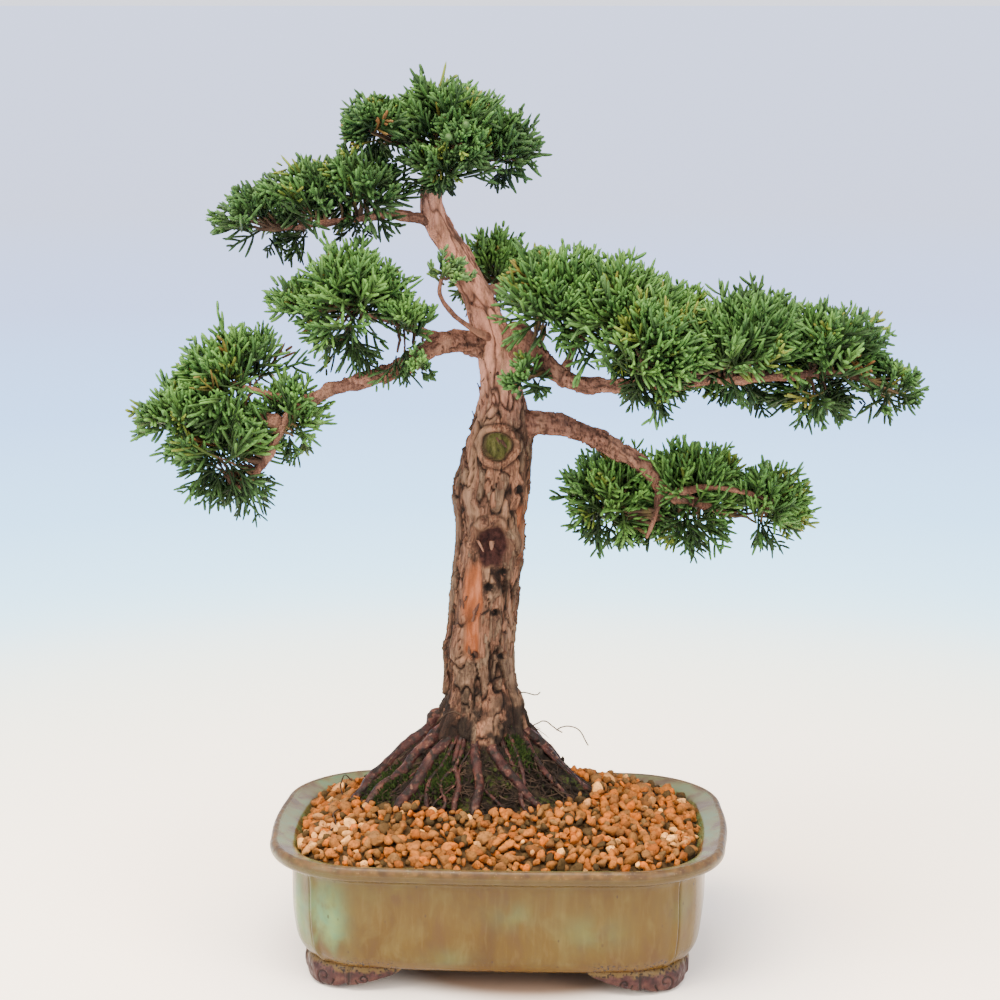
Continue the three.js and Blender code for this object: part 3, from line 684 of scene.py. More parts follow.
def pot_floor(side):
    """One half of the pot's floor. Rays from the drainage hole's axis reach the pot's outline or the middle
    line; the grid runs in along them on top, down the wall of the hole and out again underneath."""
    edge = pot_ring(FOOT_INSET + 6, 0)[:, :2]
    middle = np.column_stack([np.zeros(40), np.linspace(-1, 1, 40) * np.abs(edge[:, 1]).max()])
    border = np.concatenate([edge[edge[:, 0] * side > 0], middle])
    centre = np.array([DRAIN_AWAY * side, 0])
    angle = np.linspace(-np.pi, np.pi, 96, endpoint=False)
    reach = reach_at(border, centre, angle)
    ray = np.stack([np.cos(angle), np.sin(angle)], -1)
    share, z = np.array(FLOOR_SKIN).T
    distance = DRAIN_RADIUS + (reach - DRAIN_RADIUS) * share[:, None]
    flat = centre + ray * distance[..., None]
    grid = np.concatenate([flat, np.broadcast_to(z[:, None, None], (*distance.shape, 1))], -1)
    return grid.reshape(-1, 3), grid_faces(len(share), len(angle), wrap=True)


# The spiral groove in each lobe of a foot: way along the foot, height, size and hand.
SCROLLS = [(3, 5, 4.8, 1), (20, 5.6, 3, -1), (-18.5, 5.6, 2.6, 1)]


def make_feet():
    """Four cloud-scroll feet. Each is a band carried round a corner of the pot. Its section bulges outwards,
    and its lower edge and bulge follow one large lobe in the middle of the corner and a small one at each
    side, which tapers up to the underside. A spiral groove is cut in each lobe."""
    half = np.array([LENGTH / 2 - FOOT_INSET, DEPTH / 2 - FOOT_INSET])
    radius = CORNER - FOOT_INSET
    s = np.linspace(-30, 37, 202)
    quarter = radius * np.pi / 4
    angle = np.clip(s / radius, -np.pi / 4, np.pi / 4) + np.pi / 4
    ray = np.stack([np.cos(angle), np.sin(angle)], -1)
    beyond = np.sign(s) * np.clip(np.abs(s) - quarter, 0, None)
    ahead = np.stack([-ray[:, 1], ray[:, 0]], -1)
    path = half - radius + ray * radius + ahead * beyond[:, None]
    way = np.abs(s)
    big = np.sqrt(np.clip(1 - (way / 14.8) ** 2, 0, 1))
    end = np.where(s > 0, 36.5, 29.5)
    small = np.clip((end - way) / (end - 13), 0, 1) * step(10, 14, way)
    low = np.maximum(FOOT + 0.4 - np.maximum(10.6 * big**0.5, 9.0 * small**0.62), 0)
    puff = np.maximum(3.2 * big, 2.5 * small**0.5) + 0.4
    turn = np.linspace(0, 1, 61)
    outer = turn < 0.5
    rise = np.where(outer, 1 - 2 * turn, 2 * turn - 1)
    top = FOOT + 2.6
    z = low[:, None] + (top - low[:, None]) * rise[None, :] ** 1.15
    belly = np.sqrt(np.clip(1 - np.abs(2 * rise - 0.86) ** 2.6, 0, 1))
    out = np.where(outer, puff[:, None] * belly - 0.6, -9 + 0.8 * belly)
    at_bottom = step(0.12, 0.0, rise)
    out = out * (1 - at_bottom) + at_bottom * np.where(outer, puff[:, None] * 0.35 - 1.6, -7.6)
    groove = np.zeros_like(out)
    for centre, height, size, hand in SCROLLS:
        du, dz = (s[:, None] - centre) * hand, z - height
        away, bearing = np.hypot(du, dz), np.arctan2(dz, du) % (2 * np.pi)
        spiral = size * (0.28 + 0.72 * bearing / (2 * np.pi))
        line = np.minimum(np.abs(away - spiral), np.abs(away - spiral + size * 0.72))
        groove += bump(line, 0.42) * step(size * 1.25, size, away) * outer
    groove = np.clip(groove + bump(way - 14, 0.7)[:, None] * outer, 0, 1)
    out = out - 0.75 * groove
    shapes = []
    for sx, sy in itertools.product((-1, 1), repeat=2):
        flat = path[:, None] + ray[:, None] * out[..., None]
        points = np.concatenate([flat * (sx, sy), z[..., None]], -1)
        points += 0.25 * np.stack([noise(points / 3, 11), noise(points / 3, 12), 0 * z], -1)
        points = points.reshape(-1, 3)
        shapes.append((points, outward(points, grid_faces(len(s), len(turn)))))
    points, faces = joined(shapes)
    # The groove share also darkens the grooves with painted shade.
    make_piece("pot_feet", points, faces, clay_paint(), ["pot"], {"groove": np.tile(groove.ravel(), 4)})


# ---------------------------------------------------------------- gravel, soil and moss

# Root ball: centre, half length, half depth and height above the rim of each ring.
MOUND = [
    (-4, 7, 56, 37, -22), (-5, 9, 58, 37, -4), (-7, 11, 55, 35.5, 5), (-9, 13, 47, 32, 12),
    (-8, 16, 38, 28.5, 20), (-7, 18, 30, 24, 28), (-6, 19, 22, 18.5, 34), (-6, 20, 15, 13, 41),
]


def gravel_top(x, y):
    """Height of the gravel: highest at the trunk and falling to the wall by the power 1.7 of the share of the
    way."""
    dx, dy = x - TRUNK_FOOT[0], y - TRUNK_FOOT[1]
    share = np.hypot(dx, dy) / reach_at(pot_ring(12.2, 0)[:, :2], TRUNK_FOOT, np.arctan2(dy, dx))
    wavy = 1.3 * noise(np.stack([x / 17, y / 17, 0 * x], -1), 21)
    return RIM - 3 + 19 * (1 - np.clip(share, 0, 1.2) ** 1.7) + wavy * step(1, 0.8, share), share


# The gravel's outer side, up the inside of the pot: inset and height.
BED_WALL = [
    (30, FLOOR + 1), (23, FLOOR + 3.5), (17.4, FLOOR + 10),
    (16, RIM - 21), (16, RIM - 12), (14.4, RIM - 7.5), (13, RIM - 6),
]


def make_gravel_bed():
    """Packed gravel under the loose grains: rings up the inside of the pot, then in towards the trunk at the
    height of the gravel less a grain."""
    rows = [pot_ring(inset, z) for inset, z in BED_WALL]
    edge = rows[-1]
    for share in np.linspace(0.97, 0.02, 60):
        flat = TRUNK_FOOT + (edge[:, :2] - TRUNK_FOOT) * share
        top, _ = gravel_top(flat[:, 0], flat[:, 1])
        z = top - 2.4 + 0.8 * layered(np.column_stack([flat / 3, 0 * top]), 31)
        rows.append(np.column_stack([flat, z]))
    points = np.concatenate(rows)
    faces = outward(points, grid_faces(len(rows), len(edge), wrap=True))
    paint = plain_paint("packed gravel", [(78, 48, 24), (120, 80, 45), (148, 102, 60)], 3, 0.95, 0.8)
    make_piece("gravel_bed", points, faces, paint, ["gravel"])


def round_cube(cuts):
    """A ball as a cube of cuts x cuts faces a side, each point pushed out to the same distance from the
    middle."""
    line = np.tan(np.linspace(-1, 1, cuts + 1) * np.pi / 4)
    a, b = np.meshgrid(line, line, indexing="ij")
    shapes = []
    for axis, sign in itertools.product(range(3), (-1, 1)):
        plane = np.roll(np.stack([np.full_like(a, sign), a, b * sign], -1), axis, -1)
        shapes.append((plane.reshape(-1, 3), grid_faces(cuts + 1, cuts + 1)))
    points, faces = joined(shapes)
    _, first, same = np.unique(np.round(points, 5), axis=0, return_index=True, return_inverse=True)
    return unit(points[first]), same.reshape(-1)[faces]


def turned(count):
    """Random turns: three directions square to each other for each."""
    a = unit(rng.normal(size=(count, 3)))
    b = unit(np.cross(a, rng.normal(size=(count, 3))))
    return np.stack([a, b, np.cross(a, b)], 1)


def stones(centres, sizes, cuts, squash=0.34, rough=0.24):
    """Stones: balls stretched by random amounts along three directions, with their faces flattened and pushed
    in and out by noise, and turned at random."""
    ball, faces = round_cube(cuts)
    count = len(centres)
    stretch = 1 + squash * rng.uniform(-1, 1, (count, 1, 3))
    form = np.repeat(ball[None], count, 0)
    place = ball[None] * 1.3 + rng.uniform(0, 500, (count, 1, 3))
    form = form * (1 + rough * noise(place, 41) + 0.5 * rough * noise(place * 2.3, 42))[..., None]
    for _ in range(6):
        plane = unit(rng.normal(size=(count, 1, 3)))
        depth = rng.uniform(0.44, 0.8, (count, 1))
        past = np.clip(np.sum(form * plane, -1) - depth, 0, None)
        form = form - plane * past[..., None]
    form = np.einsum("npk,nkj->npj", form * stretch, turned(count))
    points = centres[:, None] + form * sizes[:, None, None]
    return points.reshape(-1, 3), repeated(faces, count, len(ball)), len(ball)


def on_gravel(spacing, wander):
    """Places spread over the gravel on a lattice of triangles, each moved by a random step."""
    x, y = np.meshgrid(np.arange(-98, 98, spacing), np.arange(-70, 70, spacing * 0.87))
    x = x + (np.arange(len(y)) % 2)[:, None] * spacing / 2
    places = np.column_stack([x.ravel(), y.ravel()]) + rng.uniform(-wander, wander, (x.size, 2)) * spacing
    _, share = gravel_top(*places.T)
    ring = MOUND[2]
    across, back = places.T - np.array([[TREE[0] + ring[0]], [ring[1]]])
    inside = np.hypot(across / (ring[2] + 1), back / (ring[3] + 1))
    return places[(share < 0.985) & (inside > 0.93)]


# Kinds of grain: name of the finish, tones, and the tone of its pits.
GRAINS = {
    "ochre": ("baked clay grains", [
        (178, 128, 72), (208, 150, 84), (222, 168, 104), (176, 136, 88),
        (228, 166, 94), (194, 152, 98), (212, 138, 70), (154, 112, 66)], (148, 97, 52)),
    "pale": ("pumice grains", [
        (226, 194, 150), (214, 176, 128), (236, 212, 176), (222, 186, 142)], (196, 156, 110)),
    "dark": ("lava grains", [
        (128, 90, 50), (142, 102, 58), (108, 78, 48), (150, 108, 62)], (92, 60, 32)),
}


def make_gravel():
    """Loose grains over the packed gravel, in three kinds: baked ochre clay, pale pumice and dark lava."""
    grains = {kind: [] for kind in GRAINS}
    for spacing, lift, cuts in [(4.7, -2.2, 2), (4.25, 0.1, 3)]:
        places = on_gravel(spacing, 0.38)
        size = rng.uniform(1.45, 2.8, len(places)) * np.where(rng.random(len(places)) < 0.1, 1.35, 1)
        top, share = gravel_top(*places.T)
        z = top + lift + rng.uniform(-0.9, 0.9, len(places)) - 0.55 * (size - 2.2)
        z = np.minimum(z, RIM + 1.2 + 30 * step(0.93, 0.6, share))
        centres = np.column_stack([places, z])
        left = bump(np.hypot(places[:, 0] + 78, places[:, 1] + 30), 18)
        right = bump(np.hypot(places[:, 0] - 82, places[:, 1] + 22), 13)
        pale = rng.random(len(places)) < 0.04 + 0.38 * np.maximum(left, 0.9 * right)
        dark = ~pale & (rng.random(len(places)) < 0.11)
        for kind, chosen in (("pale", pale), ("dark", dark), ("ochre", ~pale & ~dark)):
            grains[kind].append((centres[chosen], size[chosen], cuts))
    for kind, sets in grains.items():
        shapes, tones = [], []
        for centres, size, cuts in sets:
            points, faces, each = stones(centres, size, cuts)
            shapes.append((points, faces))
            tones.append(np.repeat(rng.random(len(centres)), each))
        points, faces = joined(shapes)
        paint = grain_paint(*GRAINS[kind])
        shares = {"tone": np.concatenate(tones)}
        make_piece(f"gravel_grains_{kind}", points, faces, paint, ["gravel"], shares)


def mound_ring(height):
    """Middle, half length and half depth of the root ball at a height above the rim."""
    rings = np.array(MOUND, float)
    return (np.interp(height, rings[:, 4], rings[:, k]) for k in range(4))


def mound_point(angle, height):
    """A place on the root ball's surface at a ring angle and a height above the rim."""
    x, y, a, b = mound_ring(height)
    return np.stack([x + a * np.cos(angle), y + b * np.sin(angle), height + 0 * angle], -1) + TREE


def settled(line, proud):
    """A root's line, moved level until it lies on the root ball with its middle a little outside the surface.
    Next to the trunk and down in the gravel it keeps its place."""
    line, _ = smooth_line(line, 4.0)
    x, y, a, b = mound_ring(line[:, 2])
    angle = np.arctan2((line[:, 1] - y) / b, (line[:, 0] - x) / a) + 0.07 * noise(line / 9, 63)
    laid = mound_point(angle, line[:, 2]) + proud * np.stack([np.cos(angle), np.sin(angle), 0 * angle], -1)
    held = step(42, 34, line[:, 2]) * step(-3, 3, line[:, 2])
    return raised(line) + (laid - raised(line)) * held[:, None]


def make_mound():
    """Old soil that rises between the roots: rings of the root ball at rising heights, roughened by noise."""
    height = np.concatenate([[-22], np.linspace(-8, 41, 100)])
    angle = np.linspace(0, 2 * np.pi, 240, endpoint=False)
    grid = mound_point(angle[None, :], height[:, None])
    ray = unit(grid - (TREE + (-6, 15, 8)))
    wood = np.concatenate([settled(line, 0) for line, _, _ in ROOTS])
    away = np.min(np.linalg.norm(grid[:, :, None] - wood, axis=-1), axis=-1)
    rough = 1.6 * layered(grid / 8, 51, 4) + 0.9 * noise(grid / 1.6, 57)
    grid = grid + ray * (rough - 1.8 + 1.7 * bump(away, 5))[..., None]
    paint = muck_paint()
    make_piece("root_ball", grid, grid_faces(len(height), len(angle), wrap=True), paint, ["soil"])
    count = 900
    angle = rng.uniform(0, 2 * np.pi, count)
    centres = mound_point(angle, rng.uniform(0, 40, count)) + rng.normal(size=(count, 3)) * 0.9
    centres -= 1.6 * unit(centres - (TREE + (-6, 15, 8)))
    points, faces, _ = stones(centres, rng.uniform(0.5, 1.5, count), 2, 0.4, 0.3)
    make_piece("root_ball_crumbs", points, faces, paint, ["soil"])


# Rootlets that stand out from the root ball in loops.
ROOT_LOOPS = [
    [(27, 30, 31), (31, 29, 33.5), (36, 28, 33), (39, 28, 29), (41, 28, 25)],
    [(-12, 6, 43), (-16, 2, 47), (-20, 0, 47), (-23, -1, 44)],
    [(-61, -4, 17), (-64, -6, 20), (-66, -6, 16), (-65, -7, 12)],
    [(-66, -14, 7), (-68, -18, 6), (-66, -24, 4), (-69, -30, 1.6)],
    [(17, 16, 37), (22, 14, 40), (26, 15, 37), (30, 14, 35)],
    [(10, 20, 51), (14, 17, 52), (18, 18, 51), (20, 18, 52)],
]


def make_rootlets():
    """Hair roots: each starts on the root ball and wanders down over it in short steps of random
    direction."""
    count, stations = 760, 7
    angle = rng.uniform(0, 2 * np.pi, count)
    high = rng.uniform(3, 42, count)
    drift = rng.normal(size=(count, 1)) * 0.05
    steps = np.arange(stations)[None, :]
    angles = angle[:, None] + drift * steps + np.cumsum(rng.normal(size=(count, stations)) * 0.035, 1)
    fall = steps * rng.uniform(0.3, 2.4, (count, 1))
    heights = high[:, None] - fall + np.cumsum(rng.normal(size=(count, stations)) * 0.6, 1)
    lines = mound_point(angles, np.clip(heights, -2, 42))
    out = unit(lines - (TREE + (-6, 15, 0)))
    lines += out * (-1.0 + np.abs(np.cumsum(rng.normal(size=(count, stations)) * 0.5, 1)))[..., None]
    radii = np.linspace(0.3, 0.09, stations)[None, :] * rng.uniform(0.5, 1.25, (count, 1))
    points, faces = tubes(lines, radii, 4)
    shapes = [(points, faces)]
    for loop in ROOT_LOOPS:
        line, _ = smooth_line(raised(loop), 1.2)
        line = line + 0.4 * np.stack([noise(line / 2.5, 61 + k) for k in range(3)], -1)
        shapes.append(tubes(line[None], np.full((1, len(line)), 0.3), 5))
    points, faces = joined(shapes)
    hair = plain_paint("hair roots", [(44, 30, 22), (88, 62, 46), (146, 112, 84)], 6, 0.8)
    make_piece("hair_roots", points, faces, hair, ["soil"])


# Moss patches: ring angle and height of the middle, width and height, and number of threads.
MOSS = {
    "moss_front": (-113, 21, 11, 8, 800),
    "moss_left": (-151, 14, 9, 7, 620),
    "moss_right": (-47, 31, 8, 6, 460),
}


def make_moss():
    """Moss cushions: short leafy threads that stand out from the root ball, closest at the middle of each
    patch."""
    paint = plain_paint("moss", [(30, 40, 12), (56, 70, 22), (98, 110, 42)], 2.4, 0.9, 0.2)
    for name, (degrees, high, wide, tall, count) in MOSS.items():
        angle = np.radians(degrees) + rng.normal(size=count) * wide / 90
        heights = high + rng.normal(size=count) * tall * 0.55
        foot = mound_point(angle, heights)
        out = unit(foot - (TREE + (-6, 18, -4)))
        foot -= 1.2 * out
        lean = unit(out + 0.5 * rng.normal(size=(count, 3)) + [0, 0, 0.35])
        length = rng.uniform(1.2, 3.0, count)
        share = np.linspace(0, 1, 4)[None, :, None]
        lines = foot[:, None] + lean[:, None] * share * length[:, None, None] + [0, 0, 0.6] * share**2
        radii = np.array([0.3, 0.42, 0.34, 0.05])[None, :] * rng.uniform(0.8, 1.3, (count, 1))
        points, faces = tubes(lines, radii, 4)
        make_piece(f"{name}_cushion", points, faces, paint, [name])


# ---------------------------------------------------------------- wood

# The trunk's line from its foot to its tip: across, away and above the pot's rim. Then its girth at each
# point, as a share of its usual one.
TRUNK_LINE = [
    (-6, 20, 2), (-6, 20, 18), (-6, 20, 32), (-6, 21, 45), (-7, 22, 60), (-5, 22, 92),
    (-2, 22, 116), (0, 22, 142), (1, 22, 160), (2, 22, 172), (2, 22, 188), (1, 22, 204),
    (-4, 22, 217), (-9, 22, 230), (-17, 21, 245), (-25, 20, 258), (-27, 18, 270), (-26, 17, 288),
]
TRUNK_SHARES = [
    0.7, 1.1, 1.3, 1.12, 0.98, 1, 0.94, 1, 0.95, 0.78, 0.54, 0.56, 0.48, 0.42, 0.4, 0.38, 0.3, 0.14,
]
TRUNK_RADII = [share * 14.5 for share in TRUNK_SHARES]

# Marks on the front of the trunk: across and above the rim, then half width and half height or size.
WOUND = (1.7, 163.3, 6.5, 6.1)
SCAR = (-0.8, 120, 8.2, 10.5)
KNOTS = [
    (11.1, 143.8, 2.6), (3.8, 108, 2.2), (-1.8, 101.3, 2.8),
    (0.3, 90.6, 2.0), (2.5, 70.5, 1.9), (-8.4, 71.2, 1.9),
]
# Bulges of its outline: across, above the rim, size and how proud.
BULGES = [(-14, 141, 10, 2.6), (-16, 71, 9, 2.2), (12, 169, 6, 1.6)]

# Surface roots: line, then a share of the usual girth at the trunk and at the tip.
ROOTS = [
    ([(-12, 22, 40), (-30, 22, 38), (-44, 20, 29), (-54, 15, 19), (-62, 6, 7), (-68, 0, -6)], 1.6, 1.0),
    ([(-14, 16, 40), (-31, 6, 31), (-43, -1, 25), (-51, -4, 18), (-59, -6, 9), (-64, -8, -3)], 1.3, 0.8),
    ([(-12, 12, 40), (-22, 1, 34), (-30, -6, 28), (-36, -10, 21), (-42, -15, 10), (-46, -18, -1)], 1.4, 0.95),
    ([(-9, 12, 42), (-9, -2, 34), (-7, -9, 26), (-6, -15, 18), (-6, -20, 4)], 1.3, 0.8),
    ([(-6, 12, 42), (-2, -1, 34), (5, -8, 26), (13, -12, 19), (22, -17, 11), (28, -22, 2)], 1.3, 0.7),
    ([(0, 20, 42), (9, 16, 35), (18, 14, 27), (28, 13, 17), (36, 12, 5)], 1.1, 0.6),
    ([(2, 26, 42), (13, 29, 34), (21, 31, 27), (29, 32, 19), (37, 33, 10), (44, 33, 0)], 1.2, 0.6),
    ([(0, 28, 40), (8, 38, 30), (15, 45, 18), (20, 49, 4)], 1.2, 0.7),
    ([(-8, 28, 40), (-12, 40, 29), (-15, 47, 16), (-16, 50, 3)], 1.3, 0.8),
    ([(-14, 26, 40), (-28, 36, 30), (-38, 43, 18), (-45, 46, 4)], 1.3, 0.8),
]

# Branches: the lines of each, with the radii along it. The first line is the branch, the others fork from it.
BRANCHES = {
    "branch_left": [
        ([(-3, 22, 205), (-12, 14, 207), (-22, 7, 208), (-31, 1, 203), (-39, -5, 199), (-50, -9, 195),
          (-62, -11, 192), (-73, -12, 188), (-82, -12, 182), (-89, -13, 173), (-94, -15, 161)],
         (4.8, 4.2, 3.2, 2.6, 1.8)),
        ([(-93, -15, 164), (-101, -15, 153), (-109, -15, 147)], (1.6, 0.9)),
        ([(-80, -12, 184), (-94, -10, 188), (-110, -10, 192), (-124, -12, 192)], (1.8, 0.9)),
    ],
    "branch_left_middle": [
        ([(-20, 9, 208), (-30, 4, 213), (-40, -2, 218), (-52, -6, 222), (-64, -8, 226)], (2.4, 1)),
    ],
    "branch_right_low": [
        ([(6, 22, 170), (18, 24, 171), (30, 27, 169), (45, 30, 163), (63, 32, 152), (74, 34, 140),
          (86, 36, 135), (102, 38, 129)], (5.4, 4.6, 3.6, 2.8, 1.6)),
        ([(72, 34, 142), (70, 30, 130), (66, 26, 120)], (1.7, 0.8)),
        ([(78, 35, 138), (92, 32, 142), (106, 30, 141), (120, 30, 137)], (1.8, 0.8)),
        ([(60, 32, 154), (62, 44, 148), (58, 54, 142)], (1.6, 0.8)),
    ],
    "branch_right_main": [
        ([(9, 18, 206), (16, 4, 208), (24, -3, 200), (34, -8, 194), (50, -12, 193), (68, -15, 194),
          (88, -18, 197), (110, -17, 198), (132, -14, 199), (148, -12, 199)], (4.6, 3.6, 3, 2.4, 1.4)),
        ([(60, -14, 194), (72, -30, 200), (84, -42, 203)], (1.6, 0.8)),
        ([(84, -18, 197), (98, 0, 203), (112, 14, 206)], (1.7, 0.8)),
        ([(30, -6, 197), (36, 4, 210), (42, 8, 222)], (1.8, 0.9)),
    ],
    "branch_back": [
        ([(-6, 22, 227), (0, 28, 229), (6, 38, 230), (8, 50, 230), (6, 58, 230)], (2.4, 1)),
    ],
    "branch_upper_left": [
        ([(-24, 20, 258), (-31, 17, 260), (-44, 10, 262), (-58, 3, 261), (-72, 0, 259), (-88, -3, 257)],
         (2.9, 2, 1)),
    ],
    "twig_front": [
        ([(0, 18, 208), (-8, 6, 214), (-16, -6, 222), (-21, -13, 231), (-20, -16, 239)], (1.5, 0.8)),
    ],
}

# Sawn stubs of lost branches, with their radii.
STUBS = [
    ([(4, 20, 206), (9, 17, 208), (12, 12, 210), (13, 8, 211)], (6.5, 6.8, 6.0, 4.6)),
    ([(-88, -13, 176), (-95, -14, 178), (-101, -15, 176)], (2.6, 2.4, 2.0)),
]


def raised(points):
    """Places of the tree as places from the middle of the pot and the table."""
    return np.asarray(points, float) + TREE


def plates(angle, travelled, radius, cell, seed):
    """Bark plates: a cell pattern on the limb's skin, stretched along it, with its edges bent by noise. Gives
    the height of each plate, its tone and how deep in a crack a place is."""
    across, back, along = radius * np.cos(angle), radius * np.sin(angle), travelled / 3.4
    where = np.stack(np.broadcast_arrays(across, back, along), -1)
    bent = where / cell + 0.5 * np.stack([layered(where / cell * 1.5, seed + 5 + k, 2) for k in range(3)], -1)
    _, gap, tone = cells(bent, seed)
    crack = bump(gap, 0.07)
    lifted = step(0.3, 0.08, gap) * step(0.35, 0.8, tone)
    height = (tone - 0.45) * 2.8 * (1 - crack) + 0.6 * lifted - 1.1 * crack
    return height, tone, crack


def trunk_relief(skin, angle, travelled, radius):
    """Relief of the trunk: bark plates, slow muscles, buttresses that run into the roots, and the marks that
    this trunk bears: a cut wound with a callus ring, an old scar, knots, a bulge and a bare orange strip."""
    x, y, z = np.moveaxis(skin - TREE, -1, 0)
    thin = step(3, 12, radius)
    coarse, tone, crack = plates(angle, travelled, radius, 8.0, 71)
    fine, small_tone, small_crack = plates(angle, travelled, radius, 3.1, 91)
    height = (0.8 * coarse + 0.22 * fine) * (0.3 + 0.7 * thin)
    height += 1.7 * thin * noise(np.stack([x / 8, y / 8, z / 42], -1), 77)
    height += 0.24 * layered(np.stack([x / 1.3, y / 1.3, z / 4], -1), 79)
    foot = step(58, 34, z)
    for root, thick, _ in ROOTS:
        away = np.arctan2(root[1][1] - 20, root[1][0] + 6)
        height += 2.6 * thick * foot * bump(np.sin((np.arctan2(y - 20, x + 6) - away) / 2), 0.13)
    front = step(20, 14, y)
    wound = np.hypot((x - WOUND[0]) / WOUND[2], (z - WOUND[1]) / WOUND[3]) + 0.09 * noise(skin / 4, 80)
    cut = step(1.02, 0.86, wound) * front
    ring = bump(wound - 1.28, 0.2) * front
    height = height * (1 - 0.8 * cut) * (1 - 0.45 * ring) - 2.2 * cut + 1.7 * ring
    old = np.hypot((x - SCAR[0]) / SCAR[2], (z - SCAR[1]) / SCAR[3])
    wavy = noise(skin / 4, 81)
    scar = step(1.05, 0.7, old + 0.3 * wavy) * front
    lip = bump(old - 1.1 + 0.35 * wavy, 0.17) * front * step(112, 122, z)
    height = height * (1 - 0.3 * scar) - 2.2 * scar + 1.9 * lip
    seam = bump(wound - 1.0, 0.1) + 0.8 * bump(wound - 1.6, 0.1) + 0.9 * lip * bump(old - 1.3, 0.12)
    seam = np.clip(seam, 0, 1) * front
    height -= 0.9 * seam
    dark = 0.9 * step(62, 46, z + 7 * noise(skin / 6, 86)) * step(0.1, 0.5, 0.5 + 0.5 * layered(skin / 5, 87))
    for across, high, size in KNOTS:
        away = np.hypot(x - across, z - high) / size
        dark = np.maximum(dark, step(1, 0.6, away + 0.3 * noise(skin, 83)) * front)
        height = height * (1 - 0.6 * bump(away, 1.2) * front)
        height += (1.1 * bump(away - 1.3, 0.4) - 1.3 * bump(away, 0.6)) * front
    for across, high, size, proud in BULGES:
        height += proud * bump(np.hypot(x - across, z - high), size)
    height += 1.5 * bump(np.hypot(x - 14, z - 118), 9) * front
    edge = 1.5 * noise(skin / (3, 3, 7), 85)
    bare = step(-13.5, -12, x + edge) * step(-4.8, -6.2, x + edge)
    bare = bare * step(67, 74, z + 3 * edge) * step(115, 105, z + 3 * edge)
    small_bare = step(8.8, 10, x + edge) * step(109, 115, z) * step(139, 131, z + 2 * edge)
    orange = np.maximum(bare, 0.8 * small_bare) * front
    height = height * (1 - 0.75 * orange) - 1.0 * orange
    quiet = np.clip(cut + scar + orange + 0.5 * ring + lip, 0, 1)
    upper = step(168, 196, z)
    cracks = np.clip(crack + 0.4 * small_crack, 0, 1) * (1 - quiet) * (1 - 0.25 * upper)
    return height, {
        "tone": np.clip(0.75 * tone + 0.25 * small_tone, 0, 1), "crack": np.maximum(cracks, seam),
        "cut": cut, "scar": scar, "orange": orange, "dark": dark, "pale": 0.85 * upper,
    }


def branch_relief(skin, angle, travelled, radius):
    """Relief of a branch: a swollen collar where it leaves the trunk, small bark plates and slow
    unevenness."""
    height, tone, crack = plates(angle, travelled, radius, 2.6, 101)
    calm = step(0.8, 4, radius)
    lumps = 0.2 * radius * noise(skin / 6, 103) + 0.13 * radius * noise(skin / 2.6, 104)
    collar = 0.45 * radius * bump(travelled, 7)
    tone = np.clip(tone * 0.8 + 0.1, 0, 1)
    return 0.55 * calm * height + lumps + collar, {
        "tone": tone, "crack": 0.75 * crack * calm, "pale": np.full(tone.shape, 0.16),
    }


def root_relief(skin, angle, travelled, radius):
    """Relief of a root: lumps, and a flat crease here and there. Its skin is dirty near the gravel."""
    height = 0.3 * radius * noise(skin / 8, 111) + 0.12 * radius * noise(skin / 2.4, 112)
    low = step(18, 3, skin[..., 2] - RIM + 4 * noise(skin / 5, 114))
    return height, {"crack": np.clip(noise(skin / 3, 113) - 0.3, 0, 1), "low": low}


def make_limbs(name, limbs, paint, stands_for):
    """One piece from several limbs, each a tuple of what limb() asks for."""
    shapes, sets = [], []
    for limb_asked in limbs:
        points, faces, shares = limb(*limb_asked)
        shapes.append((points, outward(points, faces)))
        sets.append(shares)
    points, faces = joined(shapes)
    shares = {label: np.concatenate([np.ravel(s[label]) for s in sets]) for label in sets[0]}
    make_piece(name, points, faces, paint, stands_for, shares)


def make_roots():
    """Surface roots: the ten large ones, and twenty thin ones that wander down the root ball at random."""
    limbs = []
    for line, start, end in ROOTS:
        radii = [2.6 * start, 2.2 * start, 2.0 * start, 1.9 * (start + end) / 2, 1.9 * end]
        limbs.append((settled(line, -0.2), radii, 0.8, 26, root_relief))
    heights = np.array([39, 33, 26, 19, 12, 5, -2.0])
    way = np.linspace(0, 1, len(heights))
    for _ in range(20):
        angles = rng.uniform(0, 2 * np.pi) + rng.normal() * 0.4 * way
        angles = angles + np.cumsum(rng.normal(size=len(heights)) * 0.06)
        line = mound_point(angles, heights)
        line -= unit(line - (TREE + (-6, 15, 0))) * rng.uniform(-0.4, 1.2)
        thick = rng.uniform(0.4, 1.3)
        limbs.append((line, [thick * 1.3, thick, thick * 0.6], 1.0, 10, root_relief))
    make_limbs("surface_roots", limbs, root_paint(), ["trunk"])


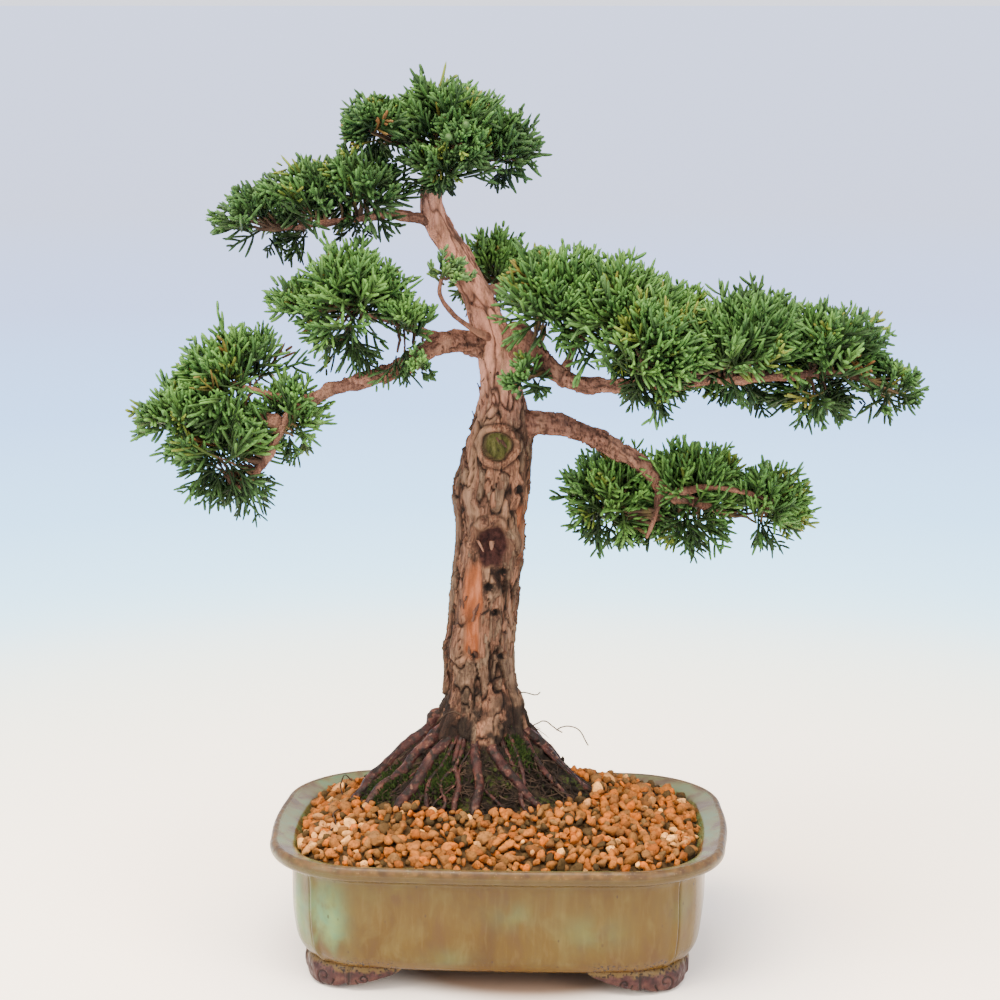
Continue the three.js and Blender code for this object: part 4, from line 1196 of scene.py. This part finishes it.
def make_wood():
    """Trunk, roots, branches, stubs and loose bark."""
    trunk_bark = bark_paint("trunk bark", [
        (150, 106, 80), (184, 138, 108), (122, 82, 62), (204, 164, 134),
        (166, 114, 84), (170, 140, 112), (138, 92, 68), (194, 150, 118)], (104, 68, 50), (196, 166, 138))
    branch_bark = bark_paint("branch bark", [
        (142, 92, 72), (172, 122, 96), (112, 70, 54), (190, 146, 120), (150, 100, 76)],
        (106, 68, 50), (196, 160, 134))
    trunk = (raised(TRUNK_LINE), TRUNK_RADII, 0.62, 150, trunk_relief)
    make_limbs("trunk_bark", [trunk], trunk_bark, ["trunk"])
    make_roots()
    for name, parts in BRANCHES.items():
        limbs = []
        for line, radii in parts:
            sides = 30 if radii[0] > 2.5 else 14
            limbs.append((raised(line), radii, 0.5, sides, branch_relief))
        make_limbs(f"{name}_bark", limbs, branch_bark, [name])
    stubs = [(raised(line), radii, 0.5, 34, branch_relief) for line, radii in STUBS]
    make_limbs("cut_stubs", stubs, branch_bark, ["trunk"])
    make_flakes(branch_bark)


def make_flakes(paint):
    """Loose bark: narrow strips with one end held by the trunk, the other curling away from it."""
    count, stations = 300, 5
    line, given = smooth_line(raised(TRUNK_LINE), 1.0)
    radius = np.interp(given, np.linspace(0, 1, len(TRUNK_RADII)), TRUNK_RADII)
    pick = (rng.uniform(0.14, 0.8, count) * len(line)).astype(int)
    angle = rng.uniform(0, 2 * np.pi, count)
    centre, thick = line[pick], radius[pick]
    out = np.stack([np.cos(angle), np.sin(angle), 0 * angle], -1)
    side = np.stack([-np.sin(angle), np.cos(angle), 0 * angle], -1)
    up = UP * np.where(rng.random(count) < 0.6, 1, -1)[:, None]
    length = rng.uniform(2, 5.5, count) * (0.4 + 0.6 * step(4, 12, thick))
    width = rng.uniform(0.8, 2.2, count)
    curl = rng.uniform(0.05, 0.6, count) ** 1.6
    share = np.linspace(0, 1, stations)[None, :, None]
    spine = centre[:, None] + out[:, None] * (thick + 0.1)[:, None, None]
    spine = spine + up[:, None] * share * length[:, None, None]
    spine = spine + out[:, None] * (curl * length)[:, None, None] * share**2
    spine = spine + side[:, None] * rng.normal(size=(count, 1, 1)) * share * 1.4
    taper = np.array([1, 1.1, 0.9, 0.7, 0.25])[None, :, None]
    half = side[:, None] * width[:, None, None] * taper / 2
    thin = out[:, None] * 0.16
    section = [(-1, 0), (-0.5, 2), (0.5, 2), (1, 0), (0.5, -1), (-0.5, -1)]
    skin = np.stack([spine + half * across + thin * out_by for across, out_by in section], 2)
    faces = repeated(grid_faces(stations, 6, wrap=True), count, stations * 6)
    tone = np.repeat(rng.random(count), stations * 6)
    dark = np.repeat((rng.random(count) < 0.3) * 0.5, stations * 6)
    make_piece("loose_bark", skin, faces, paint, ["trunk"], {"tone": tone, "dark": dark})


# ---------------------------------------------------------------- foliage

# Each pad's lobes: centre above the rim, and half sizes. Then the wood that feeds it and its shoots' tone.
PADS = {
    "foliage_apex": ([
        ((-47, 10, 297), (19, 22, 14)), ((-22, 16, 292), (26, 30, 20)), ((0, 20, 286), (18, 22, 16)),
        ((-20, 4, 282), (20, 18, 14)), ((-14, 32, 285), (20, 18, 15)), ((-14, -3, 291), (15, 12, 12)),
    ], "trunk", 0.36),
    "foliage_upper_left": ([
        ((-97, -4, 259), (19, 20, 14)), ((-75, 0, 262), (22, 27, 19)), ((-57, 4, 268), (20, 22, 18)),
    ], "branch_upper_left", 0.34),
    "foliage_left_middle": ([
        ((-79, -8, 221), (18, 20, 14)), ((-58, -10, 221), (22, 24, 27)), ((-37, -14, 213), (15, 15, 20)),
        ((-31, -16, 201), (8, 8, 9)),
    ], "branch_left_middle", 0.45),
    "foliage_lower_left": ([
        ((-129, -14, 176), (19, 20, 16)), ((-107, -8, 189), (25, 27, 21)), ((-112, -16, 161), (23, 24, 25)),
        ((-87, -14, 175), (18, 20, 18)),
    ], "branch_left", 0.44),
    "foliage_right_inner": ([
        ((17, -12, 195), (15, 8, 9)), ((28, -4, 221), (24, 24, 24)), ((52, -6, 216), (26, 33, 25)),
        ((66, -24, 204), (26, 26, 24)), ((72, 10, 206), (24, 26, 22)),
    ], "branch_right_main", 0.44),
    "foliage_right_outer": ([
        ((104, -22, 202), (30, 30, 25)), ((112, 8, 202), (30, 30, 23)), ((140, -12, 196), (30, 30, 26)),
        ((165, -10, 192), (16, 18, 13)),
    ], "branch_right_main", 0.39),
    "foliage_lower_right": ([
        ((52, 44, 130), (21, 24, 21)), ((86, 44, 129), (27, 30, 24)), ((118, 40, 128), (20, 24, 19)),
    ], "branch_right_low", 0.47),
    "foliage_back": ([
        ((-4, 58, 230), (19, 20, 18)), ((14, 62, 224), (15, 18, 18)),
    ], "branch_back", 0.47),
    "foliage_front": ([
        ((-19, -17, 238), (8, 8, 10)),
    ], "twig_front", 0.6),
}

# The lobes are drawn a little smaller than the pads look, because shoots reach past them.
PAD_SHARE = 0.81
# A lobe's surface per tuft in square millimetres, and sprays to a tuft.
TUFT_AREA = 94
FAN = 6
# The few yellow, tan and dead sprays: share of all sprays up to each, and tone on the leaf chart.
ODD_TONES = [(0.035, 0.78), (0.043, 0.86), (0.046, 0.94)]


def even_directions(count, seed):
    """Directions spread evenly over a ball by the golden angle, then moved a little."""
    k = np.arange(count) + 0.5
    height = 1 - 2 * k / count
    angle = np.pi * (1 + 5**0.5) * k + seed
    ring = np.sqrt(1 - height**2)
    even = np.stack([ring * np.cos(angle), ring * np.sin(angle), height], -1)
    return unit(even + 0.12 * rng.normal(size=(count, 3)))


def sprays(foot, heading, length, tone, girth):
    """Sprays of scale-leaf shoots. A spray's stem runs along its heading and bends upwards and sideways by
    the square of the share travelled; shorter shoots leave it on alternate sides at about 50 degrees and
    curve a little towards its tip. Gives the lines, radii, tones and ways up the leaf chart of them all."""
    count = len(foot)
    flat = unit(np.cross(heading, rng.normal(size=(count, 3))))
    across = np.cross(heading, flat)
    lift = UP * rng.uniform(0.0, 0.25, (count, 1))
    share = np.array([0, 0.36, 0.74, 0.94, 1.0])
    swell = np.array([0.42, 0.62, 0.64, 0.46, 0.1])[None]
    stem = foot[:, None] + heading[:, None] * (share * length[:, None])[..., None]
    stem = stem + lift[:, None] * (share**2 * length[:, None])[..., None]
    stem = stem + across[:, None] * (share**2)[:, None] * rng.normal(size=(count, 1, 1)) * 2.8
    lines, radii, tones = [stem], [swell * girth[:, None]], [tone]
    ways = [np.broadcast_to(0.1 + 0.8 * share, (count, len(share)))]
    for k, start in enumerate([0.26, 0.4, 0.53, 0.65, 0.76, 0.87]):
        start = start + rng.uniform(-0.06, 0.06, count)
        hand = 1 if k % 2 else -1
        swing = flat * hand * rng.uniform(0.6, 1.1, (count, 1)) + across * rng.normal(size=(count, 1)) * 0.45
        reach = np.clip(length * (1.1 - start) * rng.uniform(0.4, 0.95, count), 2.6, 9)
        base = foot + heading * (start * length)[:, None] + lift * (start**2 * length)[:, None]
        out = unit(heading + 1.25 * swing)
        line = base[:, None] + out[:, None] * (share * reach[:, None])[..., None]
        lines.append(line + (heading + lift)[:, None] * (0.28 * share**2 * reach[:, None])[..., None])
        radii.append(swell * (girth * rng.uniform(0.85, 1.05, count))[:, None])
        tones.append(tone + rng.normal(size=count) * 0.02)
        ways.append(0.1 + 0.3 * start[:, None] + (0.58 - 0.1 * start[:, None]) * share[None])
    return np.concatenate(lines), np.concatenate(radii), np.concatenate(tones), np.concatenate(ways)


def spread_tufts(centres, sizes, wire, branch, seed):
    """Tufts of a pad. Even directions give places over each lobe; left out are those inside another lobe,
    those in bare patches of the noise, many underneath, and most in front of the branch. A tuft sits part of
    the way out to its place and heads along the lobe's normal, onwards from the branch's start and upwards.
    Gives the tufts, their headings, and for each the number of its lobe, how far it faces down and its
    vigour."""
    tufts, headings, traits = [], [], []
    for index, (centre, size) in enumerate(zip(centres, sizes)):
        area = 4 * np.pi * (np.prod(size) ** (2 / 3))
        ray = even_directions(int(area / TUFT_AREA), seed + index)
        surface = centre + ray * size
        covered = np.zeros(len(ray), bool)
        for other, (c, r) in enumerate(zip(centres, sizes)):
            if other != index:
                covered |= np.linalg.norm((surface - c) / r, axis=1) < 0.8
        normal = unit(ray / size)
        below = step(0.0, -0.7, normal[:, 2])
        bare = noise(surface / 13, 131 + seed) > 0.42 - 0.5 * below
        parted = rng.random(len(ray)) < 0.8
        if branch is not None:
            beside = branch[np.argmin(np.abs(branch[None, :, 0] - surface[:, None, 0]), 1)]
            in_front = surface[:, 1] < beside[:, 1]
            bare |= parted & in_front & (np.abs(surface[:, 2] - beside[:, 2] + 1) < 6.5)
        keep = ~covered & ~bare & (rng.random(len(ray)) > 0.5 * below)
        ray, normal, below = ray[keep], normal[keep], below[keep]
        tuft = centre + ray * size * rng.uniform(0.3, 0.62, (len(ray), 1))
        ahead = unit((tuft - wire[0]) * (1, 0.6, 0.6))
        heading = normal * (1, 0.55, 1) + 0.4 * ahead + UP * (0.7 - 1.0 * below)[:, None]
        headings.append(unit(heading + 0.25 * rng.normal(size=(len(ray), 3))))
        tufts.append(tuft)
        traits.append(np.stack([np.full(len(ray), index), below, rng.uniform(0.66, 1.1, len(ray))], -1))
    return (np.concatenate(v) for v in (tufts, headings, traits))


def fan_out(tuft, heading, traits, centres, sizes, pad_tone):
    """The sprays of a pad: from each tuft a fan that reaches about to the surface of its lobe, where the line
    meets the ellipsoid. Sprays underneath are shorter and thinner; their tones, and those of sprays deep
    inside, are darker with painted shade."""
    count = len(tuft) * FAN
    foot = np.repeat(tuft, FAN, 0) + rng.normal(size=(count, 3)) * 2.0
    aim = unit(np.repeat(heading, FAN, 0) + 0.56 * rng.normal(size=(count, 3)))
    which, below, vigour = np.repeat(traits, FAN, 0).T
    which = which.astype(int)
    c, r = centres[which], sizes[which]
    a = np.sum((aim / r) ** 2, 1)
    b = np.sum((foot - c) * aim / r**2, 1)
    k = np.sum(((foot - c) / r) ** 2, 1) - 1
    reach = (-b + np.sqrt(np.clip(b * b - a * k, 0.01, None))) / a
    leader = rng.random(count) < 0.06
    length = np.clip(reach * vigour * rng.uniform(0.72, 1.04, count), 4.5, 20)
    length = length + leader * rng.uniform(2, 6, count)
    length = length * (1 - 0.4 * below * rng.random(count))
    # Painted shade: sprays underneath, and those that end deep inside their lobe, get darker tones.
    shade = pad_tone - 0.2 * below + 0.03 * noise(foot / 14, 7) + 0.045 * rng.normal(size=count)
    depth = np.linalg.norm((foot + aim * length[:, None] - c) / r, axis=1)
    shade = np.clip(shade - 0.14 * step(0.85, 0.55, depth), 0.07, 0.68)
    pick = rng.random(count)
    for limit, odd in reversed(ODD_TONES):
        shade = np.where(pick < limit, odd, shade)
    girth = rng.uniform(0.92, 1.2, count) * (1 - 0.2 * below)
    return sprays(foot, aim, length, shade, girth)


def twigs_to(tuft, heading, wire):
    """Twigs from the wood to the tufts. Each starts at the nearest place on the wood, with a quarter of the
    height between counted again, and bows against the tuft's heading by 0.22 of its length times t^2 - t."""
    gap = np.linalg.norm(tuft[:, None] - wire[None], axis=2)
    start = wire[np.argmin(gap + 0.25 * np.abs(tuft[:, None, 2] - wire[None, :, 2]), 1)]
    t = np.linspace(0, 1, 7)[None, :, None]
    span = np.linalg.norm(tuft - start, axis=1)[:, None, None]
    lines = start[:, None] + (tuft - start)[:, None] * t + heading[:, None] * 0.22 * span * (t**2 - t)
    lines = lines + rng.normal(size=lines.shape) * 0.35
    return lines, np.linspace(1.1, 0.5, 7)[None] * rng.uniform(0.6, 1.2, (len(tuft), 1))


def make_foliage():
    """Pads of foliage. Twigs run from the wood to tufts spread inside each lobe, and from each tuft a fan of
    sprays grows to the surface of the lobe. Shoots are square tubes."""
    paint = leaf_paint()
    twigs = []
    for seed, (name, (lobes, wood, pad_tone)) in enumerate(PADS.items()):
        feeding = [TRUNK_LINE[-4:]] if wood == "trunk" else [line for line, _ in BRANCHES[wood]]
        wires = [smooth_line(raised(line), 2.0)[0] for line in feeding]
        wire = np.concatenate(wires)
        centres = np.array([raised(c) for c, _ in lobes])
        sizes = np.array([r for _, r in lobes], float) * PAD_SHARE
        branch = None if wood == "trunk" else wires[0]
        tuft, heading, traits = spread_tufts(centres, sizes, wire, branch, seed)
        lines, radii, tones, ways = fan_out(tuft, heading, traits, centres, sizes, pad_tone)
        points, faces = tubes(lines, radii, 4)
        across = np.clip(tones, 0.05, 0.95)[:, None, None] + np.array([-0.02, 0, 0.02, 0])
        chart = np.stack(np.broadcast_arrays(across, ways[:, :, None]), -1)
        make_piece(f"{name}_shoots", points, faces, paint, [name], None, chart)
        twigs.append(twigs_to(tuft, heading, wire))
    points, faces = tubes(*(np.concatenate(v) for v in zip(*twigs)), 5)
    brown = plain_paint("twig bark", [(92, 62, 46), (140, 98, 70), (164, 136, 84)], 7, 0.8)
    make_piece("twigs", points, faces, brown, list(PADS))


# Unripe cones: centre above the rim. Then the way of a cone's stalk back into the pad.
CONES = {"cone_upper": (-10, -13, 301), "cone_lower": (-17, -14.5, 296)}
CONE_STALK = [(0, 0, 0), (-1, 4, -3), (-2, 10, -8)]


def make_cones():
    """Two unripe cones: balls with slightly raised plates, each on a short stalk that runs back into the
    pad."""
    paint = plain_paint("unripe cones", [(72, 94, 44), (102, 126, 62), (130, 150, 88)], 2.5, 0.5, 0.1)
    ball, ball_faces = round_cube(8)
    _, gap, _ = cells(ball * 1.2 + 7, 3)
    radius = 1.7 * (1 - 0.09 * bump(gap, 0.12))
    for name, place in CONES.items():
        stalk, _ = smooth_line(raised(place) + np.array(CONE_STALK), 1.0)
        cone = (raised(place) + ball * radius[:, None], ball_faces)
        points, faces = joined([cone, tubes(stalk[None], np.full((1, len(stalk)), 0.5), 6)])
        make_piece(f"{name}_ball", points, faces, paint, [name])


# ---------------------------------------------------------------- drainage


def paint_drainage():
    """The mesh and its wire clips stay as they are in the frame, with their own materials."""
    plastic = plain_paint("mesh plastic", [(26, 38, 32), (40, 56, 48)], 6, 0.55, 0.05)
    copper = plain_paint("clip wire", [(120, 66, 38), (176, 110, 72)], 4, 0.35, 0.03, Metallic=0.9)
    for side in ("left", "right"):
        finishes = [(f"drain_screen_{side}", plastic, "mesh"), (f"screen_clip_{side}", copper, "wire")]
        for name, paint, slot in finishes:
            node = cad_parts[name]
            node.data.materials.clear()
            node.data.materials.append(paint)


# ---------------------------------------------------------------- floor, light and camera


# The floor's backdrop glow: metres away and screen colour.
BACKDROP = [
    (0.1, (243, 236, 228)), (0.4, (230, 234, 230)), (0.66, (217, 230, 235)), (1.0, (207, 224, 233)),
    (1.5, (200, 217, 230)), (2.4, (200, 210, 223)), (4.0, (203, 208, 217)),
]
BACKDROP_GLOW = 8.0

# Round lamps: place, diameter and power.
LAMPS = {
    "top lamp": ((-0.3, -0.5, 1.5), 1.3, 84),
    "right lamp": ((1.3, -1.2, 0.8), 1.0, 38),
    "left lamp": ((-1.4, -1.1, 0.8), 1.0, 30),
}
LAMP_COLOUR = (1, 0.87, 0.72)
SKY = (212, 213, 216)


def make_floor():
    """A wide pale floor: warm near the pot, with a painted shadow in the gap under it, and far away an even
    glow like a lit backdrop."""
    paint = Paint("pale floor", 0.9)
    length = paint.node("ShaderNodeVectorMath", operation="LENGTH")
    paint.feed(length.inputs[0], paint.place)
    end = BACKDROP[-1][0]
    away = paint.sum("DIVIDE", length.outputs["Value"], end)
    glow = paint.ramp(away, [(at / end, (*light_of(*colour) / BACKDROP_GLOW, 1)) for at, colour in BACKDROP])
    black = (0, 0, 0, 1)
    near = paint.mix(paint.level(away, 0.03, 0.12), (0.97, 0.9, 0.82, 1), (0.86, 0.92, 0.88, 1))
    # Painted shadow: the floor is dark brown in the gap under the pot.
    near = paint.mix(paint.level(away, 0.013, 0.0185), (0.3, 0.2, 0.14, 1), near)
    near_glow = paint.mix(paint.level(away, 0.024, 0.045), black, (0.13, 0.08, 0.03, 1))
    far = paint.level(away, 0.08, 0.2)
    paint.set("Base Color", paint.mix(far, near, black))
    paint.set("Emission Color", paint.mix(far, near_glow, glow))
    paint.set("Emission Strength", BACKDROP_GLOW)
    half = 300
    mesh = bpy.data.meshes.new("floor")
    corners = [(-half, -half, 0), (half, -half, 0), (half, half, 0), (-half, half, 0)]
    mesh.from_pydata(corners, [], [(0, 1, 2, 3)])
    mesh.materials.append(paint.material)
    floor = bpy.data.objects.new("floor", mesh)
    bpy.context.scene.collection.objects.link(floor)


def make_light():
    """A pale sky, a large soft lamp above and a fill lamp at each side, all turned to the middle of the
    tree."""
    world = bpy.data.worlds.new("sky")
    world.use_nodes = True
    sky = light_of(*SKY)
    background = world.node_tree.nodes["Background"]
    background.inputs["Color"].default_value = (*sky / sky.max(), 1)
    background.inputs["Strength"].default_value = sky.max()
    bpy.context.scene.world = world
    target = Vector((0, 0, 0.16))
    for name, (place, diameter, power) in LAMPS.items():
        lamp = bpy.data.lights.new(name, "AREA")
        lamp.shape = "DISK"
        lamp.size = diameter
        lamp.energy = power
        lamp.color = LAMP_COLOUR
        thing = bpy.data.objects.new(name, lamp)
        thing.location = place
        thing.rotation_euler = (target - Vector(place)).to_track_quat("-Z", "Y").to_euler()
        bpy.context.scene.collection.objects.link(thing)


def make_camera():
    """A long lens a metre in front of the pot, a little to the right and above, turned to the trunk."""
    camera = bpy.data.objects.new("camera", bpy.data.cameras.new("camera"))
    camera.data.lens = 90.6
    camera.location = Vector(POT_MIDDLE * MM) + Vector((0.0535, -1.0527, 0.4102))
    camera.rotation_euler = Vector((-0.0499, 0.9797, -0.194)).to_track_quat("-Z", "Y").to_euler()
    bpy.context.scene.collection.objects.link(camera)
    bpy.context.scene.camera = camera


make_pot()
make_feet()
make_gravel_bed()
make_gravel()
make_mound()
make_rootlets()
make_moss()
make_wood()
make_foliage()
make_cones()
paint_drainage()
make_floor()
make_light()
make_camera()
